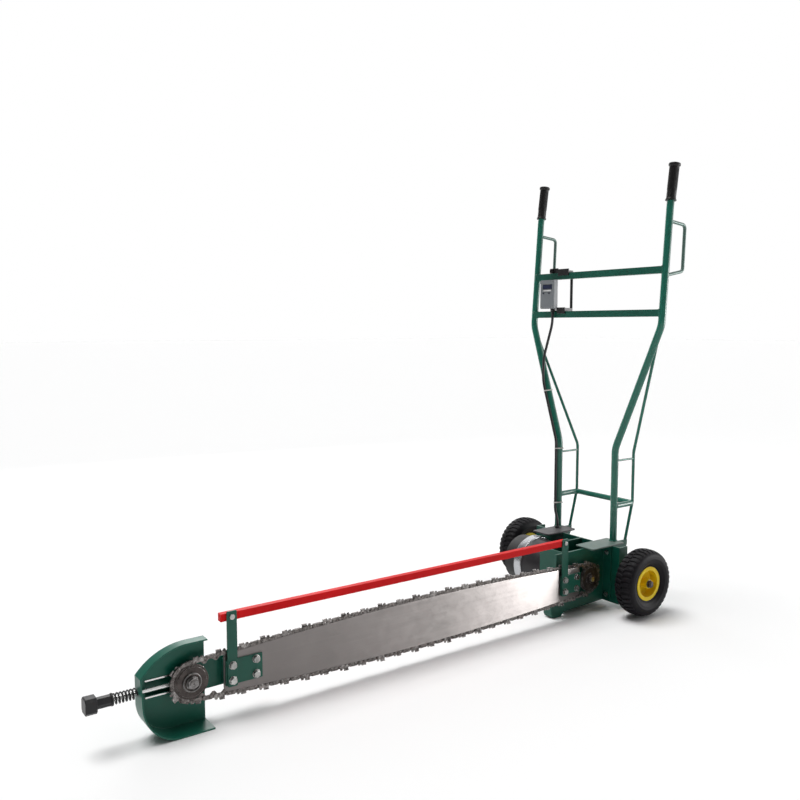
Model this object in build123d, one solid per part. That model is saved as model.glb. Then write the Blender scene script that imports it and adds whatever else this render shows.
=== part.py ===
from build123d import *
import math
import os

# Driving sizes, in millimetres. Places are measured from the ground under the axle,
# with X to the right-hand wheel, Y to the rear and Z up.

# Running gear
WHEEL_OD = 260
TYRE_W = 85
TRACK = 638
AXLE_R = 8
HUB_LEN = 60
AXLE_END = 14
RIM_R = 54
RIM_W = 58
RUN_GAP = 0.05
SIDE_GAP = 0.3

# Handle frame
TUBE_R = 14
TUBE_WALL = 2
LOWER_HALF = 149
UPPER_HALF = 333
TUBE_Y = 30
HANDLE_H = 1706
BEND_LOW_Z = 620
BEND_HIGH_Z = 1105
LEAN_HIGH = 24
LEAN_TOP = 56
BEND_R = 110
BAR_SIDE = 27
UPPER_BAR_Z = 1313
LOWER_BAR_Z = 1152
STAY_Y = 143
STAY_Z = 389
STAY_R = 11
BRACE_R = 6
BRACE_KINK_Z = 595
BRACE_FOOT_Y = 98
HOOP_R = 6.5
HOOP_BACK = 178
HOOP_Z = (1291, 1493)
GRIP_LEN = 140
GRIP_R = 18

# Base
DECK_Z = 250
PLATE_T = 6
DRIVE_PLATE_X = 150
DRIVE_PLATE_T = 8
DRIVE_FRONT = 292
WEB_Y = 16
SIDE_REACH = 225
BOX_FRONT = 244
BOX_LEFT = 30
COVER_SPAN = (-158, -72)
DECK_BACK = 46
COVER_BACK = 55
GUSSET_BACK = 112
FOOT_FRONT = 315
FOOT_H = 62
FLOOR_Z = 22

# Drive
DRIVE_Y = -130
SHAFT_R = 12
MOTOR_R = 106
MOTOR_LEFT = -142
MOTOR_RIGHT = -102
COWL_LEFT = -215

# Bar and chain
BAR_X = 168
BAR_T = 6
BAR_LEN = 1454
BAR_REAR = -186
BAR_END_HALF = 54
BAR_MID_HALF = 77
GROOVE_W = 2.6
GROOVE_D = 12
HALF_PITCH = 17.1
WHEEL_LINKS = 10
RAIL_GAP = 0.6
STRAP_DROP = 5
TANG_DROP = 14.5
SPROCKET_W = 12
BOLT_R = 6
BOLT_HOLE = 6.3
BOLT_SPAN_REAR = 66
BOLT_SPAN_NOSE = 74
BOLT_SPAN_Z = 44
BOLT_INSET_REAR = 24
BOLT_INSET_NOSE = 22
CLAMP_T = 5
CLAMP_HALF = 36
POST_W = 30
GUARD_BAR_Z = 281
GUARD_BAR_H = 22
GUARD_BAR_W = 20

# Nose guard and chain tension
GUARD_X = 138
GUARD_W_LOW = 78
GUARD_W_TOP = 33
GUARD_H = 241
GUARD_TOP_R = 179
GUARD_TOP_DROP = 66
GUARD_LOW_R = 100
GUARD_AHEAD = 145
PAN_DEPTH = 13
PAN_WALL = 1.5
RIM_T = 4
SLOT_HALF = 26
RAIL_H = 5
ROD_R = 7
ROD_X = 152
SPRING_LEN = 64
SPRING_R = 13
WIRE_R = 2.2
KNOB_LEN = 30
KNOB_W = 43
LOCK_NUT_LEN = 39

# Control box
BOX_X = -228
BOX_W = 78
BOX_H = 121
BOX_D = 24
BOX_Y = 22
BOX_GAP = 11
BOX_WALL = 2.5
BUTTON_R = 3.5
STRAP_BACK = 122
ARM_H = 16
ARM_WALL = 3
CABLE_R = 5.5
CABLE_OUT_X = -205
CABLE_OUT_BACK = 12
TIE_HEIGHTS = (825, 588, 356)
GLAND_X = -128
GLAND_Y = 4

# Worked out from the sizes above
AXLE_Z = WHEEL_OD / 2
WHEEL_X = TRACK / 2
HUB_HALF = HUB_LEN / 2
DECK_UNDER = DECK_Z - PLATE_T
WEB_FRONT = -WEB_Y - PLATE_T
PITCH_R = HALF_PITCH / (2 * math.sin(math.pi / (2 * WHEEL_LINKS)))
BAR_NOSE = BAR_REAR - BAR_LEN
BAR_OUT = BAR_X + BAR_T / 2
BAR_IN = BAR_X - BAR_T / 2
PITCH_LIFT = STRAP_DROP + RAIL_GAP
REAR_BOLTS = (BAR_REAR - BOLT_INSET_REAR - BOLT_SPAN_REAR, BAR_REAR - BOLT_INSET_REAR)
NOSE_BOLTS = (BAR_NOSE + BOLT_INSET_NOSE, BAR_NOSE + BOLT_INSET_NOSE + BOLT_SPAN_NOSE)
BOLT_ROWS = (AXLE_Z - BOLT_SPAN_Z / 2, AXLE_Z + BOLT_SPAN_Z / 2)
SPROCKET_RIM = PITCH_R * math.cos(math.pi / (2 * WHEEL_LINKS)) - STRAP_DROP - 0.4
PLATE_IN = DRIVE_PLATE_X - DRIVE_PLATE_T
GRIP_LEAN_Z = HANDLE_H - GRIP_LEN - 20
BOX_Z = LOWER_BAR_Z + BAR_SIDE / 2 + BOX_GAP


def corner_arc(a, b, c, r):
    """Ends and middle of the arc of radius r that rounds corner b."""
    a, b, c = Vector(*a), Vector(*b), Vector(*c)
    u = (a - b).normalized()
    w = (c - b).normalized()
    half = math.acos(max(-1, min(1, u.dot(w)))) / 2
    reach = r / math.tan(half)
    middle = b + (u + w).normalized() * (r / math.sin(half) - r)
    return b + u * reach, middle, b + w * reach


def bent(points, radii):
    """Wire through points, with each inner corner rounded to its own radius."""
    here = Vector(*points[0])
    edges = []
    for i, r in enumerate(radii, 1):
        start, middle, end = corner_arc(points[i - 1], points[i], points[i + 1], r)
        edges.append(Line(here, start))
        edges.append(ThreePointArc(start, middle, end))
        here = end
    edges.append(Line(here, Vector(*points[-1])))
    return Wire([e.edge() for e in edges])


def rod(points, radii, r, bore=0):
    """Round bar, or tube if it has a bore, along a bent wire."""
    wire = bent(points, radii)
    plane = Plane(origin=wire @ 0, z_dir=wire % 0)
    solid = sweep(plane * Circle(r), path=wire)
    if bore:
        solid -= sweep(plane * Circle(bore), path=wire)
    return solid


def block(x0, x1, y0, y1, z0, z1):
    size = (x1 - x0, y1 - y0, z1 - z0)
    middle = ((x0 + x1) / 2, (y0 + y1) / 2, (z0 + z1) / 2)
    return Pos(*middle) * Box(*size)


def disc(x0, x1, r, y, z, bore=0):
    """Cylinder or ring along X."""
    solid = Pos((x0 + x1) / 2, y, z) * Rot(0, 90, 0) * Cylinder(r, x1 - x0)
    if bore:
        solid -= Pos((x0 + x1) / 2, y, z) * Rot(0, 90, 0) * Cylinder(bore, x1 - x0 + 2)
    return solid


def post(y0, y1, r, x, z, bore=0):
    """Cylinder or ring along Y."""
    solid = Pos(x, (y0 + y1) / 2, z) * Rot(90, 0, 0) * Cylinder(r, y1 - y0)
    if bore:
        solid -= Pos(x, (y0 + y1) / 2, z) * Rot(90, 0, 0) * Cylinder(bore, y1 - y0 + 2)
    return solid


def peg(z0, z1, r, x, y, bore=0):
    """Cylinder or ring along Z."""
    solid = Pos(x, y, (z0 + z1) / 2) * Cylinder(r, z1 - z0)
    if bore:
        solid -= Pos(x, y, (z0 + z1) / 2) * Cylinder(bore, z1 - z0 + 2)
    return solid


def side_plate(points, x0, x1):
    """Flat plate from a (y, z) outline, from x0 to x1."""
    face = make_face(Polyline(*[(x0, y, z) for y, z in points], close=True))
    return extrude(face, amount=x1 - x0, dir=(1, 0, 0))


def hex_x(x0, x1, flats, y, z, bore=0):
    solid = Pos(x0, y, z) * Rot(0, 90, 0) * extrude(RegularPolygon(flats / math.sqrt(3), 6), x1 - x0)
    if bore:
        solid -= disc(x0 - 1, x1 + 1, bore, y, z)
    return solid


def mirrored(shape):
    return mirror(shape, Plane.YZ)


def tube_points(side):
    x = side * LOWER_HALF
    u = side * UPPER_HALF
    high_y = TUBE_Y + LEAN_HIGH
    grip_y = tube_y(GRIP_LEAN_Z)
    return [
        (x, TUBE_Y, DECK_Z),
        (x, TUBE_Y, BEND_LOW_Z),
        (u, high_y, BEND_HIGH_Z),
        (u, grip_y, GRIP_LEAN_Z),
        (u, grip_y + 0.133 * (HANDLE_H - 4 - GRIP_LEAN_Z), HANDLE_H - 4),
    ]


def tube_y(z):
    """Y of a main tube's centre line at height z, above the upper bend."""
    slope = (LEAN_TOP - LEAN_HIGH) / (HANDLE_H - 151 - BEND_HIGH_Z)
    return TUBE_Y + LEAN_HIGH + slope * (z - BEND_HIGH_Z)


def slant(z):
    """X and Y of a main tube's centre line between its two bends."""
    share = (z - BEND_LOW_Z) / (BEND_HIGH_Z - BEND_LOW_Z)
    return LOWER_HALF + share * (UPPER_HALF - LOWER_HALF), TUBE_Y + share * LEAN_HIGH


def main_tube(side):
    return rod(tube_points(side), (BEND_R, BEND_R, BEND_R), TUBE_R, TUBE_R - TUBE_WALL)


def tube_blank(side):
    return rod(tube_points(side), (BEND_R, BEND_R, BEND_R), TUBE_R + 0.02)


BLANK = {1: tube_blank(1), -1: tube_blank(-1)}


def crossbar(z):
    y = tube_y(z)
    half = BAR_SIDE / 2
    solid = block(-UPPER_HALF, UPPER_HALF, y - half, y + half, z - half, z + half)
    inner = half - TUBE_WALL
    solid -= block(-UPPER_HALF, UPPER_HALF, y - inner, y + inner, z - inner, z + inner)
    return largest(solid - BLANK[1] - BLANK[-1])


def largest(shape):
    """The biggest solid left after a cut that trims ends away."""
    return max(shape.solids(), key=lambda s: s.volume)


def lower_stay():
    y = TUBE_Y
    points = [
        (-LOWER_HALF, y, STAY_Z),
        (-LOWER_HALF, STAY_Y, STAY_Z),
        (LOWER_HALF, STAY_Y, STAY_Z),
        (LOWER_HALF, y, STAY_Z),
    ]
    solid = rod(points, (STAY_R + 4, STAY_R + 4), STAY_R, STAY_R - TUBE_WALL)
    return largest(solid - BLANK[1] - BLANK[-1])


def stay_blank():
    points = [
        (-LOWER_HALF, TUBE_Y, STAY_Z),
        (-LOWER_HALF, STAY_Y, STAY_Z),
        (LOWER_HALF, STAY_Y, STAY_Z),
        (LOWER_HALF, TUBE_Y, STAY_Z),
    ]
    return rod(points, (STAY_R + 4, STAY_R + 4), STAY_R + 0.02)


STAY = stay_blank()


def brace_line():
    x, y = slant(BEND_HIGH_Z - 15)
    return [(x, y, BEND_HIGH_Z - 15), (LOWER_HALF, STAY_Y, BRACE_KINK_Z), (LOWER_HALF, STAY_Y, STAY_Z + 2)]


def brace_rod():
    return largest(rod(brace_line(), (60,), BRACE_R) - BLANK[1] - STAY)


def lower_brace():
    points = [(LOWER_HALF, STAY_Y - 2, STAY_Z - 2), (LOWER_HALF, BRACE_FOOT_Y, DECK_UNDER - 20)]
    solid = rod(points, (), BRACE_R) - block(0, 300, 0, 200, 0, DECK_UNDER)
    return largest(solid - STAY)


def brace_spacer():
    z = BRACE_KINK_Z - 24
    solid = rod([(LOWER_HALF, TUBE_Y, z), (LOWER_HALF, STAY_Y, z)], (), 4)
    return largest(solid - BLANK[1] - rod(brace_line(), (60,), BRACE_R + 0.02))


def brace_rods():
    right = [brace_rod(), lower_brace(), brace_spacer()]
    return right + [mirrored(r) for r in right]


def hand_hoop():
    low, high = HOOP_Z
    points = [
        (UPPER_HALF, tube_y(high), high),
        (UPPER_HALF, HOOP_BACK, high - 10),
        (UPPER_HALF, HOOP_BACK - 7, low + 19),
        (UPPER_HALF, tube_y(low), low),
    ]
    return largest(rod(points, (16, 16), HOOP_R) - BLANK[1])


def grip():
    base, top = tube_points(1)[3:]
    along = Vector(*top) - Vector(*base)
    along = along.normalized()
    cap = Vector(*top) + along * 4
    start = cap - along * GRIP_LEN
    profile = Polyline(
        (0, 0), (GRIP_R + 2.5, 0), (GRIP_R + 2.5, 4), (GRIP_R, 7),
        (GRIP_R, GRIP_LEN - 14), (GRIP_R + 4, GRIP_LEN - 9), (GRIP_R + 4, GRIP_LEN - 3),
        (GRIP_R, GRIP_LEN), (0, GRIP_LEN), close=True,
    )
    solid = revolve(make_face(Plane.XZ * profile), Axis.Z)
    solid -= Pos(0, 0, (GRIP_LEN - 4) / 2) * Cylinder(TUBE_R + 0.05, GRIP_LEN - 4)
    return Plane(origin=start, z_dir=along) * solid


# Wheels, made for the right-hand side

def around_axle(points):
    """Ring from an (x, radius) outline about the axle."""
    face = make_face(Polyline(*[(x, 0, r) for x, r in points], close=True))
    return Pos(WHEEL_X, 0, AXLE_Z) * revolve(face, Axis.X)


def tyre():
    r = WHEEL_OD / 2
    w = TYRE_W / 2
    bead = RIM_R + 0.1
    seat = RIM_W / 2 - 3.2
    outer = [(seat, bead), (seat, bead + 12), (w - 4, r * 0.64), (w, r * 0.76), (w - 3, r * 0.88),
             (w - 12, r * 0.965), (w - 26, r)]
    inner = [(w - 28, r - 10), (w - 16, r * 0.88), (w - 9, r * 0.76), (w - 13, r * 0.64), (seat - 8, bead)]
    across = outer + [(-x, y) for x, y in reversed(outer)]
    lining = [(-x, y) for x, y in reversed(inner)] + inner
    return around_axle(across + lining)


def rim():
    w = RIM_W / 2
    barrel = RIM_R
    lip = barrel + 11
    outline = [
        (-w, lip), (-w + 3, lip), (-w + 3, barrel), (w - 3, barrel), (w - 3, lip), (w, lip),
        (w, barrel - 3), (-4, barrel - 3), (-7, barrel - 9), (-7, 24), (-3, 18),
        (HUB_HALF, 18), (HUB_HALF, 13.5), (-HUB_HALF, 13.5), (-HUB_HALF, 18), (-12, 18),
        (-12, barrel - 6), (-14, barrel - 3), (-w, barrel - 3),
    ]
    return around_axle(outline) - spoke_pin(4.02, RIM_R - 8, RIM_R + 4)


def spoke_pin(r, start, end):
    """Round pin in the wheel's dish, pointing at the hub, between two radii."""
    pin = Pos(0, 0, -(start + end) / 2) * Cylinder(r, end - start)
    return Pos(WHEEL_X + 12, 0, AXLE_Z) * Rot(65, 0, 0) * pin


def hub_parts():
    x = WHEEL_X
    inner = disc(x - HUB_HALF, x - HUB_HALF + 12, 13.4, 0, AXLE_Z, AXLE_R + RUN_GAP)
    outer = disc(x + HUB_HALF - 12, x + HUB_HALF, 13.4, 0, AXLE_Z, AXLE_R + RUN_GAP)
    valve = spoke_pin(4, RIM_R - 23, RIM_R - 0.5)
    return [inner, outer, valve]


def axle():
    half = WHEEL_X + HUB_HALF + AXLE_END
    return chamfer(disc(-half, half, AXLE_R, 0, AXLE_Z).edges(), 1)


def axle_fasteners():
    bore = AXLE_R + 0.02
    x = WHEEL_X + HUB_HALF + SIDE_GAP
    spacer = disc(SIDE_REACH, WHEEL_X - HUB_HALF - SIDE_GAP, 12, 0, AXLE_Z, bore)
    washer = disc(x, x + 2.5, 15, 0, AXLE_Z, bore)
    nut = hex_x(x + 2.5, x + 11, 24, 0, AXLE_Z, bore)
    right = [spacer, washer, nut]
    return right + [mirrored(r) for r in right]


# Base

def drive_plate():
    outline = [
        (WEB_FRONT, FLOOR_Z), (WEB_FRONT, DECK_UNDER), (-DRIVE_FRONT, DECK_UNDER),
        (-DRIVE_FRONT, FOOT_H + 12), (-FOOT_FRONT + 6, FOOT_H), (-FOOT_FRONT, FOOT_H - 8),
        (-FOOT_FRONT, 16), (-FOOT_FRONT + 5, 5), (-FOOT_FRONT + 16, 0), (-262, 0),
        (-250, FLOOR_Z - 6),
    ]
    solid = side_plate(outline, PLATE_IN, DRIVE_PLATE_X)
    solid += block(DRIVE_PLATE_X, DRIVE_PLATE_X + 38, WEB_FRONT - PLATE_T, WEB_FRONT, FLOOR_Z, DECK_UNDER)
    solid += block(PLATE_IN, DRIVE_PLATE_X, WEB_FRONT - PLATE_T, WEB_FRONT, FLOOR_Z, DECK_UNDER)
    solid -= disc(PLATE_IN - 1, DRIVE_PLATE_X + 1, 20, DRIVE_Y, AXLE_Z)
    for y in REAR_BOLTS:
        for z in BOLT_ROWS:
            solid -= disc(PLATE_IN - 1, DRIVE_PLATE_X + 1, BOLT_HOLE, y, z)
    for z in (48, 216):
        solid -= post(WEB_FRONT - 10, WEB_FRONT + 1, 5.3, DRIVE_PLATE_X + 19, z)
    return solid + foot_shoe()


def foot_shoe():
    x0, x1 = PLATE_IN - 32, PLATE_IN
    outline = [
        (-FOOT_FRONT, FOOT_H - 8), (-FOOT_FRONT, 16), (-FOOT_FRONT + 5, 5), (-FOOT_FRONT + 16, 0), (-262, 0),
        (-262, PLATE_T), (-FOOT_FRONT + 18, PLATE_T), (-FOOT_FRONT + 9, 9.5), (-FOOT_FRONT + PLATE_T, 17),
        (-FOOT_FRONT + PLATE_T, FOOT_H - 8),
    ]
    return side_plate(outline, x0, x1)


def rear_channel():
    solid = block(-SIDE_REACH, SIDE_REACH, WEB_FRONT, -WEB_Y, FLOOR_Z - 3, DECK_UNDER)
    for x0 in (-SIDE_REACH, SIDE_REACH - PLATE_T):
        solid += block(x0, x0 + PLATE_T, -WEB_Y, 25, FLOOR_Z - 3, DECK_UNDER)
    solid -= disc(-SIDE_REACH - 1, SIDE_REACH + 1, AXLE_R + 0.02, 0, AXLE_Z)
    for z in (48, 216):
        solid -= post(WEB_FRONT - 1, -WEB_Y + 1, 5.3, DRIVE_PLATE_X + 19, z)
    return solid


def gussets():
    outline = [
        (-WEB_Y, 60), (-WEB_Y, DECK_UNDER), (GUSSET_BACK, DECK_UNDER), (GUSSET_BACK, DECK_UNDER - 20),
        (30, 96), (10, 60),
    ]
    right = side_plate(outline, LOWER_HALF - 3, LOWER_HALF + 3)
    right -= disc(0, 300, AXLE_R + 0.02, 0, AXLE_Z)
    return [right, mirrored(right)]


def base_walls():
    front = block(BOX_LEFT - 8, PLATE_IN, -BOX_FRONT - 6, -BOX_FRONT, 96, DECK_UNDER)
    belly = block(BOX_LEFT, PLATE_IN, -BOX_FRONT, WEB_FRONT, FLOOR_Z, FLOOR_Z + 4)
    return [front, belly, motor_plate()]


def motor_plate():
    x0 = BOX_LEFT - 8
    solid = block(x0, BOX_LEFT, -BOX_FRONT, WEB_FRONT, FLOOR_Z, DECK_UNDER)
    solid -= disc(x0 - 1, BOX_LEFT + 1, 34, DRIVE_Y, AXLE_Z)
    for y, z in motor_bolt_places():
        solid -= disc(x0 - 1, BOX_LEFT + 1, 4.3, y, z)
    return solid


def motor_bolt_places():
    return [(DRIVE_Y + dy, AXLE_Z + dz) for dy in (-56, 56) for dz in (-56, 56)]


def sprocket_cover():
    solid = block(104, 192, -140, DECK_BACK, DECK_UNDER, DECK_Z)
    return fillet(solid.edges().filter_by(Axis.Z), 8)


def motor_cover():
    solid = block(*COVER_SPAN, -112, COVER_BACK, DECK_UNDER, DECK_Z)
    solid = fillet(solid.edges().filter_by(Axis.Z), 8)
    return solid - peg(DECK_UNDER - 1, DECK_Z + 1, 8.1, GLAND_X, GLAND_Y)


def terminal_box():
    x0, x1 = -143, -104
    y0, y1 = -WEB_Y + 0.5, 40
    solid = block(x0, x1, y0, y1, DECK_UNDER - 52, DECK_UNDER)
    solid -= block(x0 + 3, x1 - 3, y0 + 3, y1 - 3, DECK_UNDER - 49, DECK_UNDER - 3)
    return solid - peg(DECK_UNDER - 8, DECK_UNDER + 1, 8.1, GLAND_X, GLAND_Y)


def frame_bolts():
    out = []
    for z in (48, 216):
        x = DRIVE_PLATE_X + 19
        y = WEB_FRONT - PLATE_T
        head = Pos(x, y - 7, z) * Rot(-90, 0, 0) * extrude(RegularPolygon(17 / math.sqrt(3), 6), 7)
        out.append(head + post(y, -WEB_Y + 10, 5, x, z))
    return out


def frame_nuts():
    out = []
    for z in (48, 216):
        face = RegularPolygon(17 / math.sqrt(3), 6)
        nut = Pos(DRIVE_PLATE_X + 19, -WEB_Y, z) * Rot(-90, 0, 0) * extrude(face, 8)
        out.append(nut - post(-WEB_Y - 1, -WEB_Y + 10, 5.02, DRIVE_PLATE_X + 19, z))
    return out


# Motor and drive

def motor_ring(points):
    """Ring from an (x, radius) outline about the drive shaft."""
    face = make_face(Polyline(*[(x, DRIVE_Y, AXLE_Z + r) for x, r in points], close=True))
    return revolve(face, Axis((0, DRIVE_Y, AXLE_Z), (1, 0, 0)))


def motor_housing():
    x0, x1 = MOTOR_LEFT, MOTOR_RIGHT
    inner = MOTOR_R - 6
    outer = [(x0, MOTOR_R - 3), (x0 + 3, MOTOR_R), (x1 - 3, MOTOR_R), (x1, MOTOR_R - 3)]
    return motor_ring([(x0, inner)] + outer + [(x1, inner)])


def motor_stator():
    return motor_ring([(MOTOR_LEFT + 6, 68.6), (MOTOR_LEFT + 6, MOTOR_R - 6), (MOTOR_RIGHT - 6, MOTOR_R - 6),
                       (MOTOR_RIGHT - 6, 68.6)])


def motor_rotor():
    return motor_ring([(MOTOR_LEFT + 10, SHAFT_R), (MOTOR_LEFT + 10, 68), (MOTOR_RIGHT - 10, 68),
                       (MOTOR_RIGHT - 10, SHAFT_R)])


def drive_shield():
    x0, x1 = MOTOR_RIGHT, BOX_LEFT - 8
    outer = [(x0, MOTOR_R - 4), (x0 + 6, MOTOR_R - 6), (x1 - 10, 92), (x1, 92)]
    solid = motor_ring([(x0, 26)] + outer + [(x1, 26)])
    solid -= motor_ring([(x0 - 1, 38), (x0 - 1, MOTOR_R - 14), (x1 - 16, 84), (x1 - 16, 38)])
    for y, z in motor_bolt_places():
        solid -= disc(x1 - 14, x1 + 1, 4.02, y, z)
    return solid


def motor_bolts():
    out = []
    for y, z in motor_bolt_places():
        head = hex_x(BOX_LEFT, BOX_LEFT + 6, 13, y, z)
        out.append(head + disc(BOX_LEFT - 20, BOX_LEFT, 4, y, z))
    return out


def fan_shield():
    x1 = MOTOR_LEFT
    outer = [(x1 - 12, 91.4), (x1 - 6, 91.4), (x1 - 6, MOTOR_R - 6), (x1, MOTOR_R - 4)]
    return motor_ring([(x1 - 12, 26)] + outer + [(x1, 26)])


def fan_cowl():
    x0, x1 = COWL_LEFT, MOTOR_LEFT - 6
    outer = [(x0, 30), (x0, 84), (x0 + 10, 94), (x1, 94)]
    inner = [(x1, 91.5), (x0 + 11, 91.5), (x0 + 2.5, 83), (x0 + 2.5, 30)]
    return motor_ring(outer + inner)


def motor_fan():
    x0 = COWL_LEFT + 14
    hub = motor_ring([(x0, SHAFT_R), (x0, 22), (x0 + 30, 22), (x0 + 30, SHAFT_R)])
    for i in range(6):
        blade = block(x0 + 4, x0 + 26, DRIVE_Y - 1.5, DRIVE_Y + 1.5, AXLE_Z + 20, AXLE_Z + 82)
        hub += blade.rotate(Axis((0, DRIVE_Y, AXLE_Z), (1, 0, 0)), 60 * i)
    return hub


def shaft_bearings():
    spans = (
        (MOTOR_LEFT - 12, MOTOR_LEFT + 3),
        (MOTOR_RIGHT - 3, MOTOR_RIGHT + 12),
        (PLATE_IN - 20, PLATE_IN - 5),
    )
    return [disc(a, b, 26, DRIVE_Y, AXLE_Z, SHAFT_R + RUN_GAP) for a, b in spans]


def bearing_carrier():
    x0, x1 = PLATE_IN - 22, PLATE_IN
    flange = block(x1 - 8, x1, DRIVE_Y - 50, DRIVE_Y + 50, AXLE_Z - 50, AXLE_Z + 50)
    solid = disc(x0, x1, 42, DRIVE_Y, AXLE_Z) + flange
    solid -= disc(x0 - 1, x1 - 5, 26, DRIVE_Y, AXLE_Z)
    return solid - disc(x0 - 1, x1 + 1, 18, DRIVE_Y, AXLE_Z)


def drive_shaft():
    x0, x1 = COWL_LEFT + 12, BAR_X + SPROCKET_W / 2 + 14
    solid = disc(x0, BAR_X - SPROCKET_W / 2 - 4, SHAFT_R, DRIVE_Y, AXLE_Z)
    return solid + disc(BAR_X - SPROCKET_W / 2 - 4, x1, 10, DRIVE_Y, AXLE_Z)


def sprocket(y, bore):
    half = SPROCKET_W / 2
    floor_r = PITCH_R * math.cos(math.pi / (2 * WHEEL_LINKS)) - TANG_DROP - 0.5
    slot = GROOVE_W / 2 + 0.3
    points = [
        (-half, bore), (-half, SPROCKET_RIM - 6), (-half + 2, SPROCKET_RIM - 6), (-half + 2, SPROCKET_RIM),
        (-slot, SPROCKET_RIM), (-slot, floor_r), (slot, floor_r), (slot, SPROCKET_RIM),
        (half - 2, SPROCKET_RIM), (half - 2, SPROCKET_RIM - 6), (half, SPROCKET_RIM - 6), (half, bore),
    ]
    face = make_face(Polyline(*[(BAR_X + x, y, AXLE_Z + r) for x, r in points], close=True))
    return revolve(face, Axis((0, y, AXLE_Z), (1, 0, 0)))


def drive_sprocket():
    return sprocket(DRIVE_Y, 10) + disc(BAR_X + 6, BAR_X + 9, 22, DRIVE_Y, AXLE_Z, 10)


def sprocket_nut():
    x = BAR_X + 9
    return hex_x(x, x + 9, 30, DRIVE_Y, AXLE_Z, 10.02)


# Bar and chain

def bar_radius():
    rise = BAR_MID_HALF - BAR_END_HALF
    return ((BAR_LEN / 2) ** 2 + rise ** 2) / (2 * rise)


def bar_face(inset=0):
    y0, y1 = BAR_NOSE + inset, BAR_REAR - inset
    middle = (y0 + y1) / 2
    end, mid = BAR_END_HALF - inset, BAR_MID_HALF - inset
    top = ThreePointArc((0, y1, AXLE_Z + end), (0, middle, AXLE_Z + mid), (0, y0, AXLE_Z + end))
    low = ThreePointArc((0, y0, AXLE_Z - end), (0, middle, AXLE_Z - mid), (0, y1, AXLE_Z - end))
    front = Line((0, y0, AXLE_Z + end), (0, y0, AXLE_Z - end))
    rear = Line((0, y1, AXLE_Z - end), (0, y1, AXLE_Z + end))
    return make_face([top, front, low, rear])


def bar_plate():
    solid = Pos(BAR_IN, 0, 0) * extrude(bar_face(), amount=BAR_T, dir=(1, 0, 0))
    corners = [e for e in solid.edges().filter_by(Axis.X)]
    solid = fillet(corners, 14)
    core = Pos(BAR_X - GROOVE_W / 2, 0, 0) * extrude(bar_face(-20), amount=GROOVE_W, dir=(1, 0, 0))
    keep = extrude(bar_face(GROOVE_D), amount=GROOVE_W + 2, dir=(1, 0, 0))
    keep = Pos(BAR_X - GROOVE_W / 2 - 1, 0, 0) * keep
    solid -= core - keep
    for y in REAR_BOLTS + NOSE_BOLTS:
        for z in BOLT_ROWS:
            solid -= disc(BAR_IN - 1, BAR_OUT + 1, BOLT_HOLE, y, z)
    return solid


def tangent_turn(gap, height, r):
    """Angle from straight up at which a line to (gap, height) leaves a circle of radius r."""
    reach = math.hypot(gap, height)
    return math.acos(r / reach) - math.atan2(gap, height)


def chain_path(nose_y):
    """Pieces of the chain's upper half, from the drive sprocket's rear to the nose's front.
    Each is its length and a function that turns a distance into y and height above the middle."""
    top = BAR_END_HALF + PITCH_LIFT
    inset = 14
    y1, y0 = BAR_REAR - inset, BAR_NOSE + inset
    rise = BAR_MID_HALF - BAR_END_HALF
    radius = bar_radius() + PITCH_LIFT
    centre = BAR_MID_HALF + PITCH_LIFT - radius
    middle = (BAR_REAR + BAR_NOSE) / 2
    half_turn = math.asin((y1 - middle) / radius)
    end_z = centre + radius * math.cos(half_turn)
    rear_turn = tangent_turn(DRIVE_Y - y1, end_z, PITCH_R)
    nose_turn = tangent_turn(y0 - nose_y, end_z, PITCH_R)

    def around_drive(s):
        a = math.pi / 2 - s / PITCH_R
        return DRIVE_Y + PITCH_R * math.sin(a), PITCH_R * math.cos(a)

    def around_nose(s):
        a = nose_turn + s / PITCH_R
        return nose_y - PITCH_R * math.sin(a), PITCH_R * math.cos(a)

    def along(a, b):
        length = math.hypot(b[0] - a[0], b[1] - a[1])
        return length, lambda s: (a[0] + (b[0] - a[0]) * s / length, a[1] + (b[1] - a[1]) * s / length)

    def over_bar(s):
        a = half_turn - s / radius
        return middle + radius * math.sin(a), centre + radius * math.cos(a)

    drive_len = PITCH_R * (math.pi / 2 - rear_turn)
    nose_len = PITCH_R * (math.pi / 2 - nose_turn)
    return [
        (drive_len, around_drive),
        along(around_drive(drive_len), (y1, end_z)),
        (2 * half_turn * radius, over_bar),
        along((y0, end_z), around_nose(0)),
        (nose_len, around_nose),
    ]


def loop_length(nose_y):
    return 2 * sum(piece[0] for piece in chain_path(nose_y))


def solve_nose(link_count):
    """Y of the nose sprocket that takes up a chain of link_count drive links."""
    near, far = BAR_NOSE - 60, BAR_NOSE - 200
    for _ in range(50):
        half = (near + far) / 2
        if loop_length(half) < link_count * 2 * HALF_PITCH:
            near = half
        else:
            far = half
    return near


LINKS = 4 * round(loop_length(BAR_NOSE - 93) / (8 * HALF_PITCH))
NOSE_Y = solve_nose(LINKS)
GUARD_FRONT = NOSE_Y - GUARD_AHEAD


def on_path(s):
    """Y and Z at distance s round the chain."""
    path = chain_path(NOSE_Y)
    total = sum(piece[0] for piece in path)
    s = s % (2 * total)
    sign = 1
    if s > total:
        s = 2 * total - s
        sign = -1
    for length, place in path:
        if s <= length:
            y, z = place(s)
            return y, AXLE_Z + sign * z
        s -= length
    y, z = path[-1][1](path[-1][0])
    return y, AXLE_Z + sign * z


def chain_pins():
    return [on_path(i * HALF_PITCH + 4) for i in range(2 * LINKS)]


PINS = chain_pins()

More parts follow.
